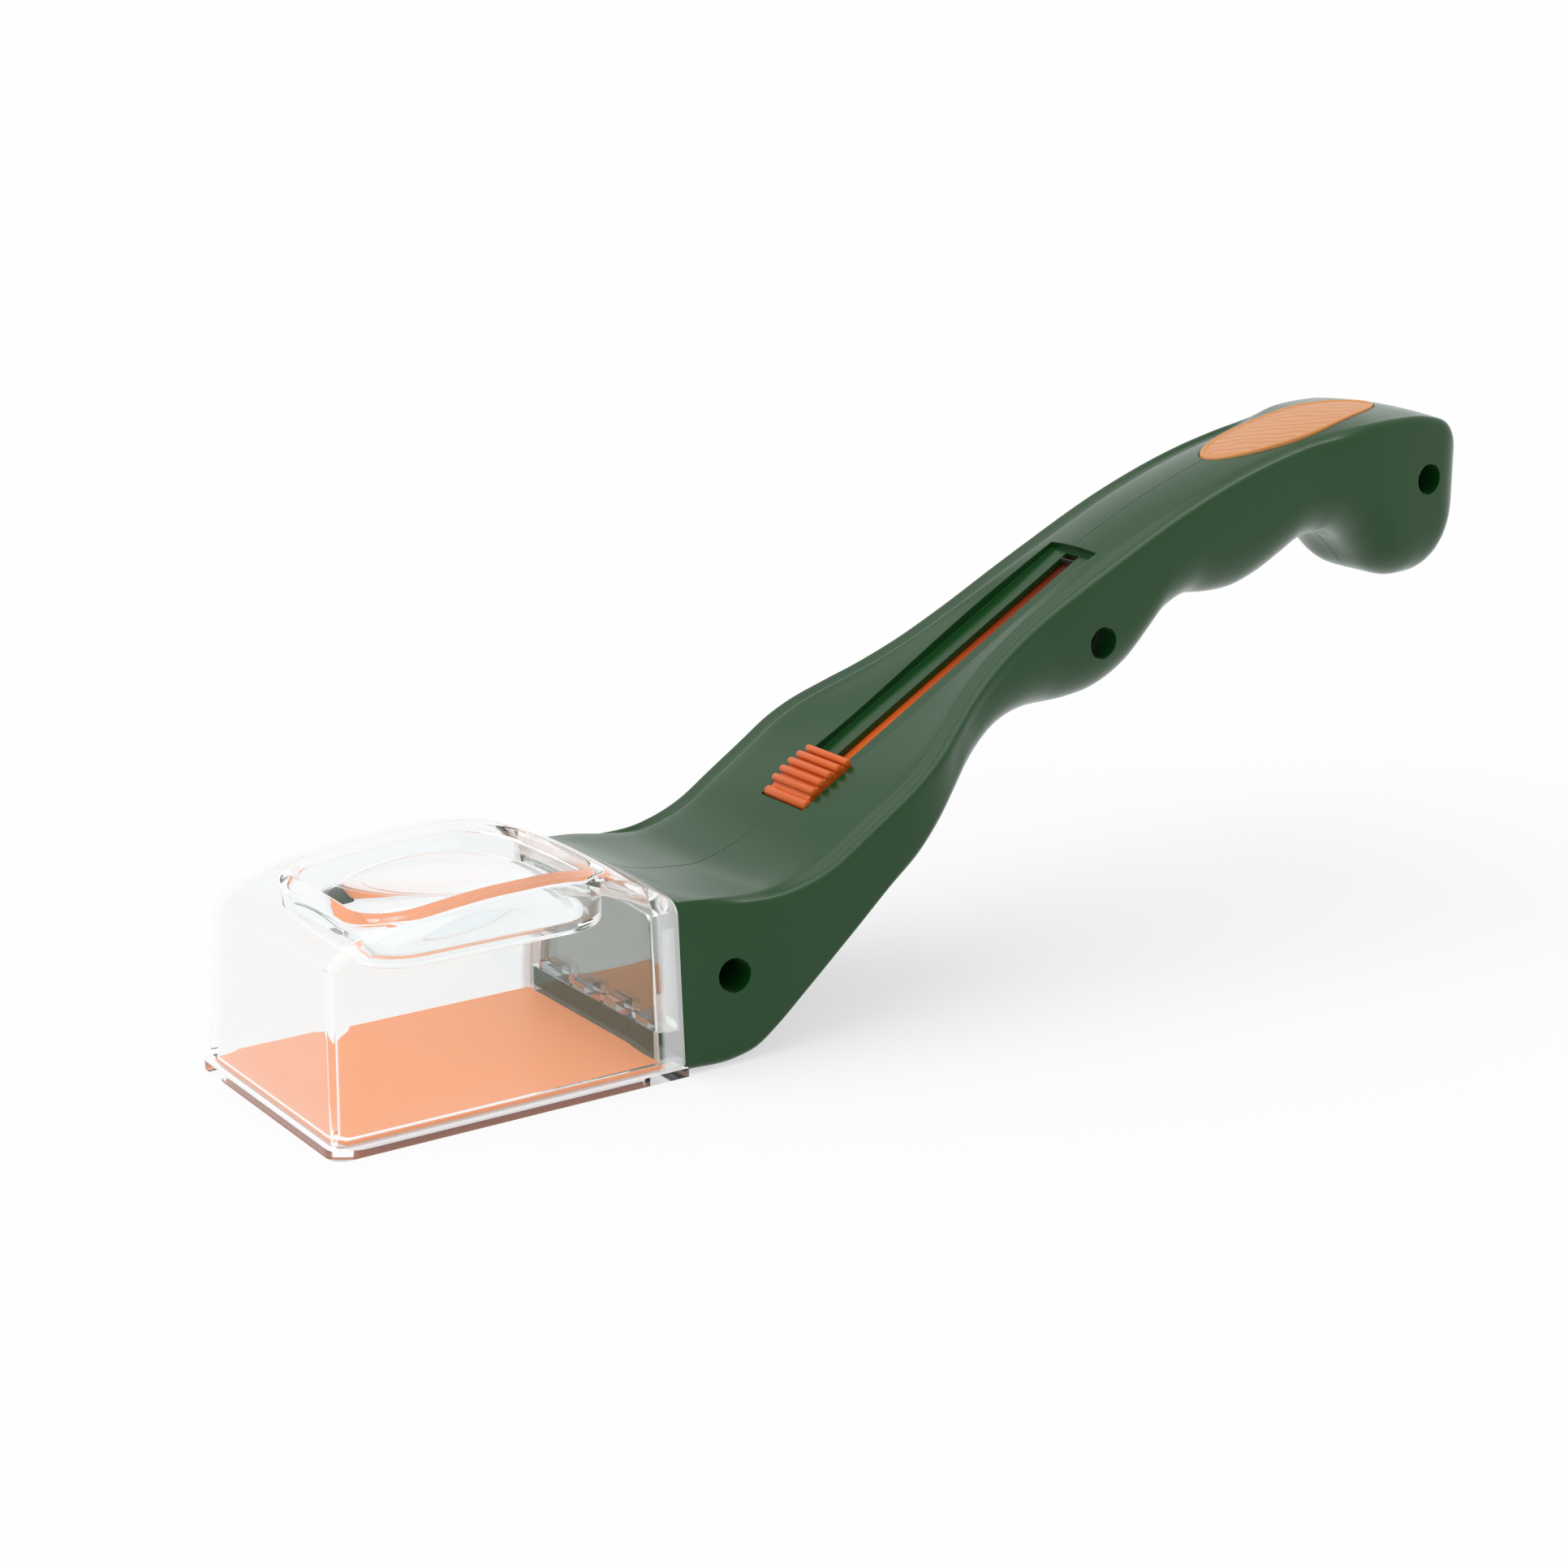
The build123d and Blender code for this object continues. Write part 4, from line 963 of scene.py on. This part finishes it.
def inlay_look():
    """Pale orange field with fine wavy moulded lines inside a yellower rim."""
    m = material("pale_orange", (0.74, 0.33, 0.13), 0.42)
    tree = m.node_tree
    n, links = tree.nodes, tree.links
    b = n["Principled BSDF"]
    coords = n.new("ShaderNodeTexCoord")
    # distance from the oval's middle: 1 on its edge
    place = n.new("ShaderNodeMapping")
    place.vector_type = "POINT"
    a, c = inlay_length / 2 * MM, inlay_width / 2 * MM
    place.inputs["Scale"].default_value = (1 / a, 1 / c, 0)
    place.inputs["Location"].default_value = (-along(inlay_centre_share) * MM / a, 0, 0)
    links.new(coords.outputs["Object"], place.inputs["Vector"])
    far = n.new("ShaderNodeVectorMath")
    far.operation = "LENGTH"
    links.new(place.outputs["Vector"], far.inputs[0])
    ramp = n.new("ShaderNodeValToRGB")
    ramp.color_ramp.elements[0].position = 0.88
    ramp.color_ramp.elements[0].color = (0.62, 0.27, 0.105, 1)
    ramp.color_ramp.elements[1].position = 0.91
    ramp.color_ramp.elements[1].color = (0.58, 0.23, 0.055, 1)
    links.new(far.outputs["Value"], ramp.inputs["Fac"])
    # wavy lines, only in the field
    wave = n.new("ShaderNodeTexWave")
    wave.bands_direction = "DIAGONAL"
    wave.inputs["Scale"].default_value = 150
    wave.inputs["Distortion"].default_value = 4.0
    wave.inputs["Detail"].default_value = 1.0
    wave.inputs["Detail Scale"].default_value = 1.1
    links.new(coords.outputs["Object"], wave.inputs["Vector"])
    groove = n.new("ShaderNodeValToRGB")
    groove.color_ramp.elements[0].position = 0.12
    groove.color_ramp.elements[1].position = 0.42
    links.new(wave.outputs["Fac"], groove.inputs["Fac"])
    on_rim = linked(tree, "GREATER_THAN", far.outputs["Value"], 0.9)
    relief = linked(tree, "MAXIMUM", groove.outputs["Color"], on_rim)
    tone = n.new("ShaderNodeMix")
    tone.data_type = "RGBA"
    tone.inputs["A"].default_value = (0.54, 0.215, 0.08, 1)
    links.new(relief, tone.inputs["Factor"])
    links.new(ramp.outputs["Color"], tone.inputs["B"])
    links.new(tone.outputs["Result"], b.inputs["Base Color"])
    bump = n.new("ShaderNodeBump")
    bump.inputs["Strength"].default_value = 0.5
    bump.inputs["Distance"].default_value = 0.0003
    links.new(relief, bump.inputs["Height"])
    links.new(bump.outputs["Normal"], b.inputs["Normal"])
    return m


green_look = dict(
    Specular_IOR_Level=0.39,
    Sheen_Weight=0.3,
    Sheen_Roughness=0.27,
    Sheen_Tint=(0.85, 0.95, 1.0, 1.0),
)
clear_look = dict(Transmission_Weight=1.0, IOR=1.45)
panel_look = dict(Transmission_Weight=1.0, IOR=1.49, Coat_Weight=1.0, Coat_IOR=1.7)
green = moulded(material("green_plastic", (0.002, 0.046, 0.004), 0.24, **green_look), edge=0.0004)
orange = moulded(material("orange_plastic", strong_orange, 0.36, Specular_IOR_Level=0.4), edge=0.0002)
band_orange = moulded(material("band_orange", strong_orange, 0.36, Specular_IOR_Level=0.25))
# painted shade: the band in the slit darkens towards the rear of the slot
painted_shade_behind(band_orange)
floor_orange = moulded(material("floor_orange", (0.87, 0.31, 0.125), 0.4, Specular_IOR_Level=0.3))
clear = lets_light_in(material("clear_plastic", clear_colour, 0.0, **clear_look))
panel_clear = lets_light_in(material("panel_plastic", clear_colour, 0.0, **panel_look))
# clear plastic with a painted reflection: half diffuse white in the thick frame's sides and top
clear_with_painted_frame = lets_light_in(material("frame_plastic", (0.965, 0.98, 0.98), 0.0, **clear_look))
paint_frame_reflection(clear_with_painted_frame)
dark = material("dark_plastic", (0.03, 0.03, 0.03), 0.5)
steel = material("screw_steel", (0.5, 0.5, 0.52), 0.35, Metallic=1.0)
rubber = material("stop_rubber", (0.02, 0.02, 0.02), 0.8)
pale_orange = inlay_look()

looks = {
    "base_frame": clear, "rear_panel": panel_clear, "magnifier_lens": clear, "chamber": clear,
    "thumb_slider": orange, "slider_carriage": orange, "thumb_rest": pale_orange,
    "shutter_sheet": floor_orange,
    "carriage_screws": steel, "friction_springs": steel, "case_screws": steel, "locating_pins": steel,
    "lower_guide": dark, "upper_guide": dark, "band_rest": dark, "wear_strips": dark,
    "front_stop": rubber, "rear_stop": rubber, "handle_shell_left": green, "handle_shell_right": green,
}  # fmt: skip
for name, look in looks.items():
    nodes[name].data.materials.clear()
    nodes[name].data.materials.append(look)


def stand_for(o, node, look, body):
    """Gives a detailed piece its look and body and hides the plain node it stands for."""
    o.data.materials.clear()
    o.data.materials.append(look)
    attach(o, body)
    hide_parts(node)
    return o


stand_for(handle_half("shell_left", -1), "handle_shell_left", green, "root")
stand_for(handle_half("shell_right", 1), "handle_shell_right", green, "root")
stand_for(chamber_skin(), "chamber", clear_with_painted_frame, "root")
stand_for(lens_skin(), "magnifier_lens", clear, "root")
stand_for(slider_button(), "thumb_slider", orange, "slider")
stand_for(inlay_plate(), "thumb_rest", pale_orange, "root")
door = stand_for(door_sheet(), "shutter_sheet", floor_orange, "shutter")
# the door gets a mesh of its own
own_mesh(door)
stand_for(band_sheet(), "shutter_sheet", band_orange, "root")

# Floor, light and camera

floor = box("floor", (-30000, -30000, -2), (30000, 30000, -0.1))
floor_look = material("floor_white", (0.84, 0.84, 0.84), 0.9, Specular_IOR_Level=0.0)
tree = floor_look.node_tree
glow, mix = (tree.nodes.new("ShaderNode" + kind) for kind in ("Emission", "MixShader"))
glow.inputs["Color"].default_value = (0.99, 0.99, 0.99, 1)
tree.links.new(linked(tree, "MULTIPLY", seen_directly(tree), 0.6), mix.inputs["Fac"])
tree.links.new(tree.nodes["Principled BSDF"].outputs["BSDF"], mix.inputs[1])
tree.links.new(glow.outputs["Emission"], mix.inputs[2])
tree.links.new(mix.outputs["Shader"], tree.nodes["Material Output"].inputs["Surface"])
floor.data.materials.append(floor_look)

world = bpy.data.worlds.new("world")
bpy.context.scene.world = world
world.use_nodes = True
tree = world.node_tree
back = tree.nodes["Background"]
back.inputs["Color"].default_value = (1, 1, 1, 1)
back.inputs["Strength"].default_value = 0.82
white = tree.nodes.new("ShaderNodeBackground")
white.inputs["Color"].default_value = (0.985, 0.987, 0.99, 1)
white.inputs["Strength"].default_value = 1.0
mix = tree.nodes.new("ShaderNodeMixShader")
tree.links.new(seen_directly(tree), mix.inputs["Fac"])
tree.links.new(back.outputs["Background"], mix.inputs[1])
tree.links.new(white.outputs["Background"], mix.inputs[2])
tree.links.new(mix.outputs["Shader"], tree.nodes["World Output"].inputs["Surface"])

sun = bpy.data.lights.new("key", "SUN")
sun.energy = 1.25
sun.angle = math.radians(70)
key = bpy.data.objects.new("key", sun)
key.rotation_mode = "QUATERNION"
key.rotation_quaternion = Vector((0.35, -0.1, -1.0)).to_track_quat("-Z", "Y")
bpy.context.scene.collection.objects.link(key)

right = Vector((0.82662, -0.56275, -0.00212))
upward = Vector((0.15724, 0.22735, 0.96104))
backward = Vector((-0.54034, -0.79475, 0.27642))
lens = bpy.data.cameras.new("camera")
lens.lens, lens.sensor_width = 69.24, 36
camera = bpy.data.objects.new("camera", lens)
camera.matrix_world = Matrix.Translation((-0.36006, -0.48735, 0.21408)) @ Matrix(
    (right, upward, backward)
).transposed().to_4x4()
bpy.context.scene.collection.objects.link(camera)
bpy.context.scene.camera = camera
bpy.context.scene.view_settings.view_transform = "Standard"
